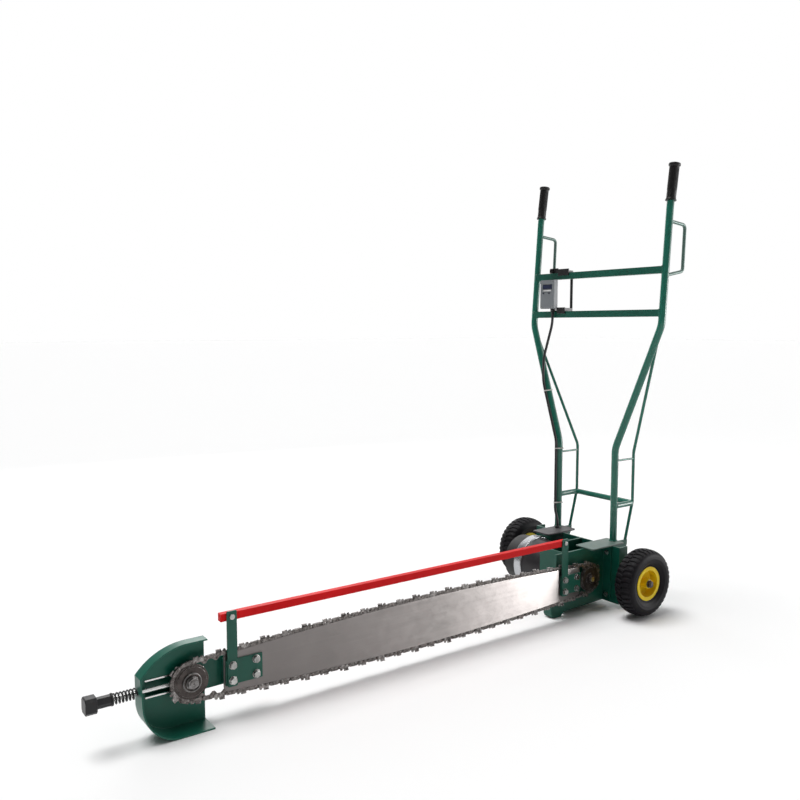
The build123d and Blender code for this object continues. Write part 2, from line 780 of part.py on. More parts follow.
DRIVE_SHAPE = [(-6, 5), (HALF_PITCH + 6, 5), (HALF_PITCH + 7, -2), (HALF_PITCH + 4, -STRAP_DROP),
               (12, -TANG_DROP), (5, -TANG_DROP), (-4, -STRAP_DROP), (-7, -2)]
STRAP_SHAPE = [(-7, -2), (-4, -STRAP_DROP), (HALF_PITCH + 4, -STRAP_DROP), (HALF_PITCH + 7, -2),
               (HALF_PITCH + 7, 3), (HALF_PITCH + 3, 6), (-3, 6), (-7, 3)]
CUTTER_SHAPE = [(-7, -2), (-4, -STRAP_DROP), (HALF_PITCH + 4, -STRAP_DROP), (HALF_PITCH + 7, -2),
                (HALF_PITCH + 7, 12), (9, 13), (8, 7), (4, 6), (2, 11), (-4, 11), (-7, 3)]


def flat_link(shape, x0, x1):
    """Link laid along Y with its outward side down, from x0 to x1 across the chain."""
    face = make_face(Polyline(*[(x0, s, -n) for s, n in shape], close=True))
    return extrude(face, amount=x1 - x0, dir=(1, 0, 0))


def strap(side):
    near, far = (1.05, 3.2) if side > 0 else (-3.2, -1.05)
    solid = flat_link(STRAP_SHAPE, near, far)
    return solid + rivet_heads(side)


def rivet_heads(side):
    x0, x1 = (3.2, 4) if side > 0 else (-4, -3.2)
    return disc(x0, x1, 2.8, 0, 0) + disc(x0, x1, 2.8, HALF_PITCH, 0)


def cutter(side):
    near, far = (1.05, 3.2) if side > 0 else (-3.2, -1.05)
    solid = flat_link(CUTTER_SHAPE, near, far)
    x0, x1 = (0.6, 5.2) if side > 0 else (-5.2, -0.6)
    solid += block(x0, x1, 9, HALF_PITCH + 7, -13, -10.5)
    return solid + rivet_heads(side)


def place_link(link, i):
    """Lay a link between pins i and i + 1."""
    y0, z0 = PINS[i % len(PINS)]
    y1, z1 = PINS[(i + 1) % len(PINS)]
    turn = math.atan2(z1 - z0, y1 - y0)
    return Pos(BAR_X, y0, z0) * Rot(math.degrees(turn), 0, 0) * link


def chain_drive_links():
    link = flat_link(DRIVE_SHAPE, -1, 1)
    return [place_link(link, 2 * i) for i in range(LINKS)]


def chain_straps():
    left, right = strap(-1), strap(1)
    out = []
    for i in range(LINKS):
        if i % 4 != 0:
            out.append(place_link(right, 2 * i + 1))
        if i % 4 != 2:
            out.append(place_link(left, 2 * i + 1))
    return out


def chain_cutters():
    left, right = cutter(-1), cutter(1)
    out = []
    for i in range(0, LINKS, 4):
        out.append(place_link(right, 2 * i + 1))
        out.append(place_link(left, 2 * i + 5))
    return out


def holed_plate(x0, x1, y0, y1, z0, z1, bolts, hole=BOLT_HOLE):
    solid = block(x0, x1, y0, y1, z0, z1)
    for y in bolts:
        for z in BOLT_ROWS:
            solid -= disc(x0 - 1, x1 + 1, hole, y, z)
    return solid


def bar_clamps():
    low, high = AXLE_Z - CLAMP_HALF, AXLE_Z + CLAMP_HALF
    rear = (REAR_BOLTS[0] - 16, BAR_REAR - 1)
    nose = (BAR_NOSE + 3, NOSE_BOLTS[1] + 20)
    return [
        holed_plate(DRIVE_PLATE_X, BAR_IN, *rear, low, high, REAR_BOLTS),
        holed_plate(BAR_OUT, BAR_OUT + CLAMP_T, *rear, low, high, REAR_BOLTS),
        holed_plate(GUARD_X + PLATE_T, BAR_IN, *nose, low, high, NOSE_BOLTS),
        holed_plate(BAR_OUT, BAR_OUT + CLAMP_T, *nose, low, high, NOSE_BOLTS),
    ]


def upright(y):
    x0, x1 = BAR_OUT + CLAMP_T, BAR_OUT + 2 * CLAMP_T
    half = POST_W / 2
    solid = block(x0, x1, y - half, y + half, AXLE_Z - 40, GUARD_BAR_Z + GUARD_BAR_H + 6)
    solid = fillet(solid.edges().filter_by(Axis.X), 4)
    for z in BOLT_ROWS:
        solid -= disc(x0 - 1, x1 + 1, BOLT_HOLE, y, z)
    return solid - disc(x0 - 1, x1 + 1, 4.3, y, GUARD_BAR_Z + GUARD_BAR_H / 2)


def guard_bar():
    x1 = BAR_OUT + CLAMP_T
    y0, y1 = NOSE_BOLTS[0] - 31, REAR_BOLTS[0] + 8
    z0, z1 = GUARD_BAR_Z, GUARD_BAR_Z + GUARD_BAR_H
    solid = block(x1 - GUARD_BAR_W, x1, y0, y1, z0, z1)
    solid -= block(x1 - GUARD_BAR_W + 2, x1 - 2, y0 + 2, y1 - 2, z0 + 2, z1 - 2)
    for y in (NOSE_BOLTS[0], REAR_BOLTS[0]):
        solid -= disc(x1 - GUARD_BAR_W - 1, x1 + 1, 4.3, y, (z0 + z1) / 2)
    return solid


def guard_screws():
    x = BAR_OUT + 2 * CLAMP_T
    back = BAR_OUT + CLAMP_T - GUARD_BAR_W
    z = GUARD_BAR_Z + GUARD_BAR_H / 2
    out = []
    for y in (NOSE_BOLTS[0], REAR_BOLTS[0]):
        out.append(disc(x, x + 3.5, 8, y, z) + disc(back - 6, x, 4, y, z))
    return out


def bolt_places():
    """Outer face and inner face that each bar bolt clamps."""
    places = []
    for ys, inner in ((REAR_BOLTS, PLATE_IN), (NOSE_BOLTS, GUARD_X)):
        for i, y in enumerate(ys):
            outer = BAR_OUT + CLAMP_T
            if i == 0:
                outer += CLAMP_T
            for z in BOLT_ROWS:
                places.append((y, z, outer, inner))
    return places


def bar_washers():
    return [disc(outer, outer + 2, 12, y, z, BOLT_R + 0.02) for y, z, outer, inner in bolt_places()]


def bar_bolts():
    out = []
    for y, z, outer, inner in bolt_places():
        head = hex_x(outer + 2, outer + 9.5, 18, y, z)
        out.append(head + disc(inner - 13, outer + 2, BOLT_R, y, z))
    return out


def bar_nuts():
    return [hex_x(inner - 10, inner, 18, y, z, BOLT_R + 0.02) for y, z, outer, inner in bolt_places()]


# Nose guard and tension gear

def guard_outline(inset):
    """Face of the guard, straight at the rear and set in from its outline. The top is a long arc
    that meets the upright front at a corner, and the bottom runs into it round a tighter one."""
    y0, y1 = GUARD_FRONT + inset, NOSE_Y + 48
    z0, z1 = inset, GUARD_H - inset
    low_r = GUARD_LOW_R - inset
    q = low_r * (1 - math.sqrt(0.5))
    top_r = GUARD_TOP_R - inset
    centre_y = GUARD_FRONT + math.sqrt(GUARD_TOP_R ** 2 - (GUARD_TOP_R - GUARD_TOP_DROP) ** 2)
    centre_z = GUARD_H - GUARD_TOP_R
    half_y = (y0 + centre_y) / 2
    corner_z = centre_z + math.sqrt(top_r ** 2 - (centre_y - y0) ** 2)
    half_z = centre_z + math.sqrt(top_r ** 2 - (centre_y - half_y) ** 2)
    edges = [
        Line((0, y1, z0), (0, y1, z1)),
        Line((0, y1, z1), (0, centre_y, z1)),
        ThreePointArc((0, centre_y, z1), (0, half_y, half_z), (0, y0, corner_z)),
        Line((0, y0, corner_z), (0, y0, z0 + low_r)),
        ThreePointArc((0, y0, z0 + low_r), (0, y0 + q, z0 + q), (0, y0 + low_r, z0)),
        Line((0, y0 + low_r, z0), (0, y1, z0)),
    ]
    return make_face(edges)


def slide_pan():
    """Shallow pan on the back of the guard, behind the slot."""
    y0, y1 = GUARD_FRONT + 12, NOSE_Y + 52
    half = SLOT_HALF + 7
    w = PAN_WALL
    x0 = GUARD_X - PAN_DEPTH
    solid = block(x0, GUARD_X, y0, y1, AXLE_Z - half, AXLE_Z + half)
    return solid - block(x0 + w, GUARD_X + 1, y0 + w, y1 - w, AXLE_Z - half + w, AXLE_Z + half - w)


def rim_slant():
    """Wedge that leaves the rim wide at the bottom and narrow at the top."""
    low, top = GUARD_X + GUARD_W_LOW, GUARD_X + GUARD_W_TOP
    y0, y1 = GUARD_FRONT - 1, NOSE_Y + 49
    corners = [(low, y0, 0), (top, y0, GUARD_H), (top, y0, GUARD_H + 1), (low + 1, y0, GUARD_H + 1)]
    return extrude(make_face(Polyline(*corners, close=True)), amount=y1 - y0, dir=(0, 1, 0))


def nose_guard():
    back = Pos(GUARD_X, 0, 0) * extrude(guard_outline(0), amount=PLATE_T, dir=(1, 0, 0))
    rim_solid = Pos(GUARD_X, 0, 0) * extrude(guard_outline(0), amount=GUARD_W_LOW, dir=(1, 0, 0))
    rim_solid -= rim_slant()
    hollow = Pos(GUARD_X - 1, 0, 0) * extrude(guard_outline(RIM_T), amount=GUARD_W_LOW + 2, dir=(1, 0, 0))
    tongue = block(GUARD_X, GUARD_X + PLATE_T, NOSE_Y + 40, NOSE_BOLTS[1] + 18, AXLE_Z - 42, AXLE_Z + 42)
    solid = back + (rim_solid - hollow) + tongue
    solid -= block(GUARD_X - 1, GUARD_X + PLATE_T + 1, GUARD_FRONT + 24, NOSE_Y + 46, AXLE_Z - SLOT_HALF,
                   AXLE_Z + SLOT_HALF)
    solid -= post(GUARD_FRONT - 1, GUARD_FRONT + 26, ROD_R + 0.8, ROD_X, AXLE_Z)
    for y in NOSE_BOLTS:
        for z in BOLT_ROWS:
            solid -= disc(GUARD_X - 1, GUARD_X + PLATE_T + 1, BOLT_HOLE, y, z)
    return [solid, slide_pan()]


def slide_rails():
    x0, x1 = GUARD_X - 1, GUARD_X + PLATE_T + 3
    y0, y1 = GUARD_FRONT + 24, NOSE_Y + 46
    top = block(x0, x1, y0, y1, AXLE_Z + SLOT_HALF - RAIL_H, AXLE_Z + SLOT_HALF)
    low = block(x0, x1, y0, y1, AXLE_Z - SLOT_HALF, AXLE_Z - SLOT_HALF + RAIL_H)
    return [top, low]


def carriage():
    x0, x1 = GUARD_X - 1, GUARD_X + PLATE_T + 3
    neck = SLOT_HALF - RAIL_H - SIDE_GAP
    y0, y1 = NOSE_Y - 26, NOSE_Y + 26
    solid = block(x0 - 6, BAR_X - SPROCKET_W / 2 - 2.3, y0, y1, AXLE_Z - neck, AXLE_Z + neck)
    solid += block(x0 - 6, x0 - SIDE_GAP, y0, y1, AXLE_Z - neck - 5, AXLE_Z + neck + 5)
    solid += block(x1 + SIDE_GAP, x1 + 6, y0, y1, AXLE_Z - neck - 5, AXLE_Z + neck + 5)
    solid -= post(y0 - 1, NOSE_Y + 14, ROD_R + 0.3, ROD_X, AXLE_Z)
    shoulder = BAR_X - SPROCKET_W / 2
    solid += disc(shoulder - 2.3, shoulder - SIDE_GAP, 16, NOSE_Y, AXLE_Z)
    return solid + disc(shoulder - SIDE_GAP, BAR_X + SPROCKET_W / 2 + 14, 10, NOSE_Y, AXLE_Z)


def nose_sprocket():
    return sprocket(NOSE_Y, 18) + disc(BAR_X + 6, BAR_X + 8, 27, NOSE_Y, AXLE_Z, 18)


def nose_bearing():
    return disc(BAR_X - SPROCKET_W / 2, BAR_X + SPROCKET_W / 2, 17.98, NOSE_Y, AXLE_Z, 10 + RUN_GAP)


def nose_nut():
    x = BAR_X + SPROCKET_W / 2 + 2 + SIDE_GAP
    washer = disc(x, x + 2.5, 17, NOSE_Y, AXLE_Z, 10.02)
    return [washer, hex_x(x + 2.5, x + 10.5, 28, NOSE_Y, AXLE_Z, 10.02)]


WASHER_Y = GUARD_FRONT - SPRING_LEN
NUT_Y = WASHER_Y - 4
KNOB_Y = NUT_Y - LOCK_NUT_LEN


def tension_rod():
    return post(KNOB_Y - KNOB_LEN + 6, NOSE_Y + 10, ROD_R, ROD_X, AXLE_Z)


def tension_washer():
    return post(WASHER_Y - 4 + SIDE_GAP, WASHER_Y, 17, ROD_X, AXLE_Z, ROD_R + 0.3)


def lock_nut():
    face = RegularPolygon(27 / math.sqrt(3), 6)
    solid = Pos(ROD_X, NUT_Y, AXLE_Z) * Rot(90, 0, 0) * extrude(face, LOCK_NUT_LEN)
    return solid - post(NUT_Y - LOCK_NUT_LEN - 1, NUT_Y + 1, ROD_R + 0.02, ROD_X, AXLE_Z)


def tension_knob():
    half = KNOB_W / 2
    solid = block(ROD_X - half, ROD_X + half, KNOB_Y - KNOB_LEN, KNOB_Y, AXLE_Z - half, AXLE_Z + half)
    solid = chamfer(solid.edges().filter_by(Axis.Y), 8)
    solid = chamfer(solid.faces().sort_by(Axis.Y)[0].edges(), 2)
    return solid - post(KNOB_Y - KNOB_LEN + 6, KNOB_Y + 1, ROD_R + 0.02, ROD_X, AXLE_Z)


def tension_spring():
    gap = WIRE_R + 0.3
    turns = 6.5
    height = SPRING_LEN - 2 * gap
    path = Helix(pitch=height / turns, height=height, radius=SPRING_R)
    start = Plane(origin=path @ 0, z_dir=path % 0)
    coil = sweep(start * Circle(WIRE_R), path=path, is_frenet=True)
    coil = Pos(ROD_X, GUARD_FRONT - gap, AXLE_Z) * Rot(90, 0, 0) * coil
    return [coil, tension_washer()]


# Control box and cable

def box_body():
    x0, x1 = BOX_X - BOX_W / 2, BOX_X + BOX_W / 2
    solid = block(x0, x1, BOX_Y + 3, BOX_Y + BOX_D, BOX_Z, BOX_Z + BOX_H)
    solid = fillet(solid.edges().filter_by(Axis.Y), 5)
    w = BOX_WALL
    solid -= block(x0 + w, x1 - w, BOX_Y, BOX_Y + BOX_D - w, BOX_Z + w, BOX_Z + BOX_H - w)
    return solid - peg(BOX_Z - 1, BOX_Z + 8, 8.1, CABLE_OUT_X, BOX_Y + CABLE_OUT_BACK)


def display_place():
    return BOX_X - 24, BOX_X + 27, BOX_Z + BOX_H - 37, BOX_Z + BOX_H - 20


def button_places():
    return [(BOX_X - 21, BOX_Z + BOX_H - 55), (BOX_X + 12, BOX_Z + BOX_H - 55)]


def box_lid():
    x0, x1 = BOX_X - BOX_W / 2, BOX_X + BOX_W / 2
    solid = block(x0, x1, BOX_Y, BOX_Y + 3, BOX_Z, BOX_Z + BOX_H)
    solid = fillet(solid.edges().filter_by(Axis.Y), 5)
    a, b, c, d = display_place()
    solid -= block(a, b, BOX_Y - 1, BOX_Y + 1.5, c, d)
    for x, z in button_places():
        solid -= post(BOX_Y - 1, BOX_Y + 4, BUTTON_R + SIDE_GAP, x, z)
    return solid


def display_window():
    a, b, c, d = display_place()
    return block(a + 0.1, b - 0.1, BOX_Y + 0.1, BOX_Y + 1.5, c + 0.1, d - 0.1)


def push_button(i):
    x, z = button_places()[i]
    cap = post(BOX_Y - 3, BOX_Y + 6, BUTTON_R, x, z)
    return cap + post(BOX_Y + 3.3, BOX_Y + 6, BUTTON_R + 2, x, z)


def control_board():
    x0, x1 = BOX_X - BOX_W / 2 + 9, BOX_X + BOX_W / 2 - 9
    y0, y1 = BOX_Y + BOX_D - 10, BOX_Y + BOX_D - 8
    solid = block(x0, x1, y0, y1, BOX_Z + 14, BOX_Z + BOX_H - 12)
    for x in (x0 + 6, x1 - 6):
        for z in (BOX_Z + 20, BOX_Z + BOX_H - 18):
            solid += post(y1, BOX_Y + BOX_D - BOX_WALL, 3, x, z)
    return solid


def bracket_arm(y0, y1, z):
    """Channel, open at the top, from the crossbar back to the strap."""
    x0, x1 = BOX_X - 2, BOX_X + 12
    w = ARM_WALL
    return block(x0, x1, y0, y1, z, z + ARM_H) - block(x0 + w, x1 - w, y0 - 1, y1 - w, z + w, z + ARM_H + 1)


def control_bracket():
    x0, x1 = BOX_X - 2, BOX_X + 12
    y0, y1 = BOX_Y + BOX_D, BOX_Y + BOX_D + STRAP_BACK
    low = LOWER_BAR_Z + BAR_SIDE / 2
    high = UPPER_BAR_Z + BAR_SIDE / 2
    solid = bracket_arm(y0, y1, low) + bracket_arm(y0 - 8, y1, high)
    solid += block(x0, x1, y1 - ARM_WALL, y1, low, high + ARM_H)
    solid += block(x0, x1, y0, y0 + ARM_WALL, low, BOX_Z + BOX_H - 4)
    clip = BOX_X + BOX_W / 2 + 2
    solid += lower_clip(clip, tube_y(LOWER_BAR_Z) - BAR_SIDE / 2, low)
    return solid + upper_clip(clip, tube_y(UPPER_BAR_Z) - BAR_SIDE / 2, high)


def lower_clip(x, face, z):
    """Angle over the lower crossbar beside the box, joined to the arm behind it."""
    solid = block(BOX_X + 10, x + 45, BOX_Y + BOX_D, face + 20, z, z + ARM_WALL)
    solid += block(x, x + 45, face - 5, face + 20, z, z + ARM_WALL)
    return solid + block(x, x + 45, face - 5, face, z - 10, z + ARM_H)


def upper_clip(x, face, z):
    """Stepped angle over the upper crossbar, joined to the arm behind it."""
    solid = block(x - 52, x + 52, face - 5, face + 20, z, z + ARM_WALL)
    solid += block(x - 52, x - 8, face - 5, face, z, z + ARM_H + 4)
    return solid + block(x - 8, x + 52, face - 5, face, z - 12, z + ARM_H)


def gland(z_top, x, y, down):
    """Screwed gland whose nut is under a wall (down) or on top of it."""
    if down:
        body = peg(z_top - 10, z_top, 10, x, y) + peg(z_top, z_top + 7, 8, x, y)
    else:
        body = peg(z_top, z_top + 10, 10, x, y) + peg(z_top - 8.5, z_top, 8, x, y)
    return body - peg(z_top - 20, z_top + 20, CABLE_R + 0.05, x, y)


def cable_glands():
    upper = gland(BOX_Z, CABLE_OUT_X, BOX_Y + CABLE_OUT_BACK, True)
    lower = gland(DECK_Z, GLAND_X, GLAND_Y, False)
    return [upper, lower]


def cable_points():
    hug = TUBE_R + CABLE_R + 0.5
    tie_x, tie_y = slant(875)
    return [
        (CABLE_OUT_X, BOX_Y + CABLE_OUT_BACK, BOX_Z + 6),
        (CABLE_OUT_X, BOX_Y + CABLE_OUT_BACK, BOX_Z - 62),
        (-244, 27, 975),
        (-tie_x, tie_y - hug, 875),
        (-LOWER_HALF, TUBE_Y - hug, BEND_LOW_Z),
        (-LOWER_HALF, TUBE_Y - hug, 328),
        (GLAND_X, GLAND_Y, 284),
        (GLAND_X, GLAND_Y, DECK_UNDER - 6),
    ]


CABLE_BENDS = (190, 180, 200, BEND_R, 60, 60)


def motor_cable():
    return rod(cable_points(), CABLE_BENDS, CABLE_R)


def cable_tie(z):
    """Flat band round the tube and the cable beside it, square to the tube."""
    hug = TUBE_R + CABLE_R + 0.5
    x, y = LOWER_HALF, TUBE_Y
    run = Vector(0, 0, 1)
    if z > BEND_LOW_Z:
        x, y = slant(z)
        run = Vector(LOWER_HALF - UPPER_HALF, LEAN_HIGH, BEND_HIGH_Z - BEND_LOW_Z).normalized()
    plane = Plane(origin=(-x, y, z), x_dir=Vector(0, 1, 0).cross(run), z_dir=run)
    inner = make_hull(Circle(TUBE_R + 0.3).edges() + (Pos(0, -hug) * Circle(CABLE_R + 0.6)).edges())
    outer = make_hull(Circle(TUBE_R + 1.6).edges() + (Pos(0, -hug) * Circle(CABLE_R + 1.9)).edges())
    band = extrude(outer, 2.5, both=True) - extrude(inner, 3, both=True)
    tail = Pos(TUBE_R + 6, 0, 0) * Box(10, 2, 3)
    return plane * (band + tail)


def cable_ties():
    return [cable_tie(z) for z in TIE_HEIGHTS]


def fasteners():
    return frame_bolts() + frame_nuts() + motor_bolts()


def both(make):
    """The right-hand piece and its mirror."""
    right = make()
    return [mirrored(right), right]


def mirrored_group(make):
    return [mirrored(s) for s in make()]


PARTS = {
    "main_tubes": lambda: [main_tube(-1), main_tube(1)],
    "crossbars": lambda: [crossbar(UPPER_BAR_Z), crossbar(LOWER_BAR_Z)],
    "lower_stay": lower_stay,
    "brace_rods": brace_rods,
    "hand_hoops": lambda: both(hand_hoop),
    "handle_grips": lambda: both(grip),
    "left_tyre": lambda: mirrored(tyre()),
    "right_tyre": tyre,
    "left_rim": lambda: mirrored(rim()),
    "right_rim": rim,
    "left_hub_parts": lambda: mirrored_group(hub_parts),
    "right_hub_parts": hub_parts,
    "axle": axle,
    "axle_fasteners": axle_fasteners,
    "drive_plate": drive_plate,
    "rear_channel": rear_channel,
    "frame_gussets": gussets,
    "base_walls": base_walls,
    "sprocket_cover": sprocket_cover,
    "motor_cover": motor_cover,
    "frame_fasteners": fasteners,
    "motor_housing": motor_housing,
    "motor_stator": motor_stator,
    "motor_rotor": motor_rotor,
    "motor_shields": lambda: [drive_shield(), fan_shield()],
    "fan_cowl": fan_cowl,
    "motor_fan": motor_fan,
    "shaft_bearings": shaft_bearings,
    "bearing_carrier": bearing_carrier,
    "terminal_box": terminal_box,
    "drive_shaft": drive_shaft,
    "drive_sprocket": drive_sprocket,
    "sprocket_nut": sprocket_nut,
    "bar_plate": bar_plate,
    "bar_clamps": bar_clamps,
    "guard_posts": lambda: [upright(REAR_BOLTS[0]), upright(NOSE_BOLTS[0])],
    "guard_bar": guard_bar,
    "bar_bolts": lambda: bar_bolts() + guard_screws(),
    "bar_nuts": lambda: bar_nuts() + bar_washers(),
    "chain_drive_links": chain_drive_links,
    "chain_straps": chain_straps,
    "chain_cutters": chain_cutters,
    "nose_guard": nose_guard,
    "slide_rails": slide_rails,
    "nose_carriage": carriage,
    "nose_sprocket": nose_sprocket,
    "nose_bearing": nose_bearing,
    "nose_nut": nose_nut,
    "tension_rod": tension_rod,
    "tension_knob": lambda: [lock_nut(), tension_knob()],
    "tension_spring": tension_spring,
    "box_body": box_body,
    "box_lid": box_lid,
    "display_window": display_window,
    "start_button": lambda: push_button(0),
    "stop_button": lambda: push_button(1),
    "control_board": control_board,
    "control_bracket": control_bracket,
    "motor_cable": motor_cable,
    "cable_fittings": lambda: cable_glands() + cable_ties(),
}


def solids_of(made):
    pieces = made if isinstance(made, list) else [made]
    return [s for piece in pieces for s in piece.solids()]


def main():
    os.makedirs("parts", exist_ok=True)
    nodes = {name: solids_of(make()) for name, make in PARTS.items()}
    boxes = [s.bounding_box() for solids in nodes.values() for s in solids]
    front = min(b.min.Y for b in boxes)
    rear = max(b.max.Y for b in boxes)
    shift = -round((front + rear) / 2, 1)
    for name, solids in nodes.items():
        moved = [s.moved(Pos(0, shift, 0)) for s in solids]
        export_step(Compound(children=moved) if len(moved) > 1 else moved[0], f"parts/{name}.step")
    cable = bent(cable_points(), CABLE_BENDS)
    print("nodes", len(nodes), "moved back by", shift)
    print("axle y", shift, "drive y", shift + DRIVE_Y, "nose y", round(NOSE_Y + shift, 3), "links", LINKS)
    print("front", round(front + shift, 1), "rear", round(rear + shift, 1))
    print("cable length", round(cable.length, 1), "bend radii", CABLE_BENDS)


main()
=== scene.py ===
import math

import bmesh
import bpy
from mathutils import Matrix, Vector


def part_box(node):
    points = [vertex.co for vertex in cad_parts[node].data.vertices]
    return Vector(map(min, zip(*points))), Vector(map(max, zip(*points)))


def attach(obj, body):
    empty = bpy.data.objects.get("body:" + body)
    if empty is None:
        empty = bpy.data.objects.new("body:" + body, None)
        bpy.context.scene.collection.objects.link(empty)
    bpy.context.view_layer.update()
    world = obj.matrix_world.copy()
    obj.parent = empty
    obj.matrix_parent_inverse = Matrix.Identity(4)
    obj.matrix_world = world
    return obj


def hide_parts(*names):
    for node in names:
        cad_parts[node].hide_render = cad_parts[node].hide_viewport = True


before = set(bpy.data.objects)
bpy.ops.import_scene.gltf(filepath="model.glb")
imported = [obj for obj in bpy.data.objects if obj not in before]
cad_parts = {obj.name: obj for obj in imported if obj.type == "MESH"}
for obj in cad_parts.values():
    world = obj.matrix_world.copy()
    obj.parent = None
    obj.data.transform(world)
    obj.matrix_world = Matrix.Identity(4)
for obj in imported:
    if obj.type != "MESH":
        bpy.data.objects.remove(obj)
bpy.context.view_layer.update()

print("frame loaded,", len(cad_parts), "nodes")

axleY = sum(corner.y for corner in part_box("axle")) / 2
scene = bpy.context.scene


# camera, floor and light

shot = {"at": (2.28066, axleY - 2.54318, 1.10179), "azimuth": 54.39, "down": 5.10, "lens": 37.12,
        "sensor": 36, "far": 200}
lamps = {
    "backLeft": {"at": (-3.8, 1.2, 1.8), "aim": (0, 0.5, 0.5), "size": 2.4, "watts": 35, "sheen": False,
                 "lights": ()},
    "sideSheen": {"at": (2.5, 3.8, 0.95), "aim": (0, 0.6, 0.5), "size": 1.8, "watts": 110, "sheen": True,
                  "lights": ()},
    "barGlare": {"at": (2.5, 3.8, 0.75), "aim": (0, 0.6, 0.2), "size": 1.5, "watts": 640, "sheen": True,
                 "lights": ("bar_plate",)},
}
sunLook = {"tilt": (12, -14, 0), "angle": 36, "strength": 2.5}
skyLook = {"facing": (-0.17, 0.985, 0.0), "blend": (-0.1, 0.5), "dark": 0.10, "bright": 0.60, "mirrored": 2.2,
           "seen": 1.0}
floorLook = {"reach": 60, "color": (0.93, 0.93, 0.93, 1), "rough": 0.8}


def setCamera():
    data = bpy.data.cameras.new("shot")
    data.lens = shot["lens"]
    data.sensor_width = shot["sensor"]
    data.clip_end = shot["far"]
    camera = bpy.data.objects.new("shot", data)
    scene.collection.objects.link(camera)
    camera.location = shot["at"]
    camera.rotation_euler = (math.radians(90 - shot["down"]), 0, math.radians(shot["azimuth"]))
    scene.camera = camera


def setLamps():
    for name, lamp in lamps.items():
        data = bpy.data.lights.new(name, "AREA")
        data.shape = "DISK"
        data.size = lamp["size"]
        data.energy = lamp["watts"]
        light = bpy.data.objects.new(name, data)
        scene.collection.objects.link(light)
        light.visible_diffuse = not lamp["sheen"]  # a sheen lamp only shows as a shine on paint and steel
        if lamp["lights"]:
            targets = bpy.data.collections.new(name + "Targets")
            for node in lamp["lights"]:
                targets.objects.link(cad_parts[node])
            light.light_linking.receiver_collection = targets
        light.location = lamp["at"]
        aim = Vector(lamp["aim"]) - light.location
        light.rotation_euler = aim.to_track_quat("-Z", "Y").to_euler()


def setSun():
    data = bpy.data.lights.new("sun", "SUN")
    data.angle = math.radians(sunLook["angle"])
    data.energy = sunLook["strength"]
    sun = bpy.data.objects.new("sun", data)
    scene.collection.objects.link(sun)
    sun.rotation_euler = [math.radians(a) for a in sunLook["tilt"]]


def setSky():
    # white where it is seen, and dimmer on the side that the lamps don't reach
    world = bpy.data.worlds.new("studio")
    scene.world = world
    world.use_nodes = True
    tree = world.node_tree
    sky = tree.nodes["Background"]
    place = tree.nodes.new("ShaderNodeTexCoord")
    dot = tree.nodes.new("ShaderNodeVectorMath")
    dot.operation = "DOT_PRODUCT"
    dot.inputs[1].default_value = skyLook["facing"]
    tree.links.new(place.outputs["Generated"], dot.inputs[0])
    side = tree.nodes.new("ShaderNodeMapRange")
    side.interpolation_type = "SMOOTHSTEP"
    tree.links.new(dot.outputs["Value"], side.inputs["Value"])
    for label, value in (("From Min", skyLook["blend"][0]), ("From Max", skyLook["blend"][1]),
                         ("To Min", skyLook["dark"]), ("To Max", skyLook["bright"])):
        side.inputs[label].default_value = value
    rays = tree.nodes.new("ShaderNodeLightPath")
    shine = tree.nodes.new("ShaderNodeMath")
    shine.operation = "MULTIPLY_ADD"
    tree.links.new(rays.outputs["Is Glossy Ray"], shine.inputs[0])
    shine.inputs[1].default_value = skyLook["mirrored"] - 1
    shine.inputs[2].default_value = 1
    strength = tree.nodes.new("ShaderNodeMath")
    strength.operation = "MULTIPLY"
    tree.links.new(side.outputs["Result"], strength.inputs[0])
    tree.links.new(shine.outputs[0], strength.inputs[1])
    pick = tree.nodes.new("ShaderNodeMix")
    tree.links.new(rays.outputs["Is Camera Ray"], pick.inputs[0])
    tree.links.new(strength.outputs[0], pick.inputs[2])
    pick.inputs[3].default_value = skyLook["seen"]
    sky.inputs["Color"].default_value = (1, 1, 1, 1)
    tree.links.new(pick.outputs[0], sky.inputs["Strength"])


def setFloor():
    mesh = bpy.data.meshes.new("floor")
    reach = floorLook["reach"]
    corners = [(-reach, -reach, 0), (reach, -reach, 0), (reach, reach, 0), (-reach, reach, 0)]
    mesh.from_pydata(corners, [], [(0, 1, 2, 3)])
    floor = bpy.data.objects.new("floor", mesh)
    scene.collection.objects.link(floor)
    paint = bpy.data.materials.new("floorPaint")
    paint.use_nodes = True
    shader = paint.node_tree.nodes["Principled BSDF"]
    shader.inputs["Base Color"].default_value = floorLook["color"]
    shader.inputs["Roughness"].default_value = floorLook["rough"]
    mesh.materials.append(paint)


setCamera()
setLamps()
setSun()
setSky()
setFloor()
scene.view_settings.view_transform = "Standard"
print("camera, lamps and floor set")


# shader groups shared by the finishes
# a noise is (detail, roughness), a range is what goes from none to full

# the edge mask's look: real wear on the paints, and a painted highlight along the edges of the bare steels
wearAndGlintLook = {"samples": 4, "edge": (0.03, 0.22), "patchNoise": (5.0, 0.65), "patch": (0.45, 0.62)}
skinLook = {"broadNoise": (3.0, 0.5), "broad": (0.3, 0.7), "fineNoise": (2.0, 0.4), "scuffScale": 38.0,
            "scuffNoise": (6.0, 0.7), "scuff": (0.35, 0.75), "scuffRough": (-0.02, 0.07)}
dustLook = {"upward": (-0.2, 1.0), "cloudScale": 22.0, "cloudNoise": (7.0, 0.68), "cloud": (0.42, 0.72)}
grainNoise = (3.0, 0.6)


def newGroup(name, inputs, outputs):
    tree = bpy.data.node_groups.new(name, "ShaderNodeTree")
    for label, kind, value in inputs:
        socket = tree.interface.new_socket(label, in_out="INPUT", socket_type="NodeSocket" + kind)
        socket.default_value = value
    for label, kind in outputs:
        tree.interface.new_socket(label, in_out="OUTPUT", socket_type="NodeSocket" + kind)
    entry = tree.nodes.new("NodeGroupInput")
    leave = tree.nodes.new("NodeGroupOutput")
    return tree, entry.outputs, leave.inputs


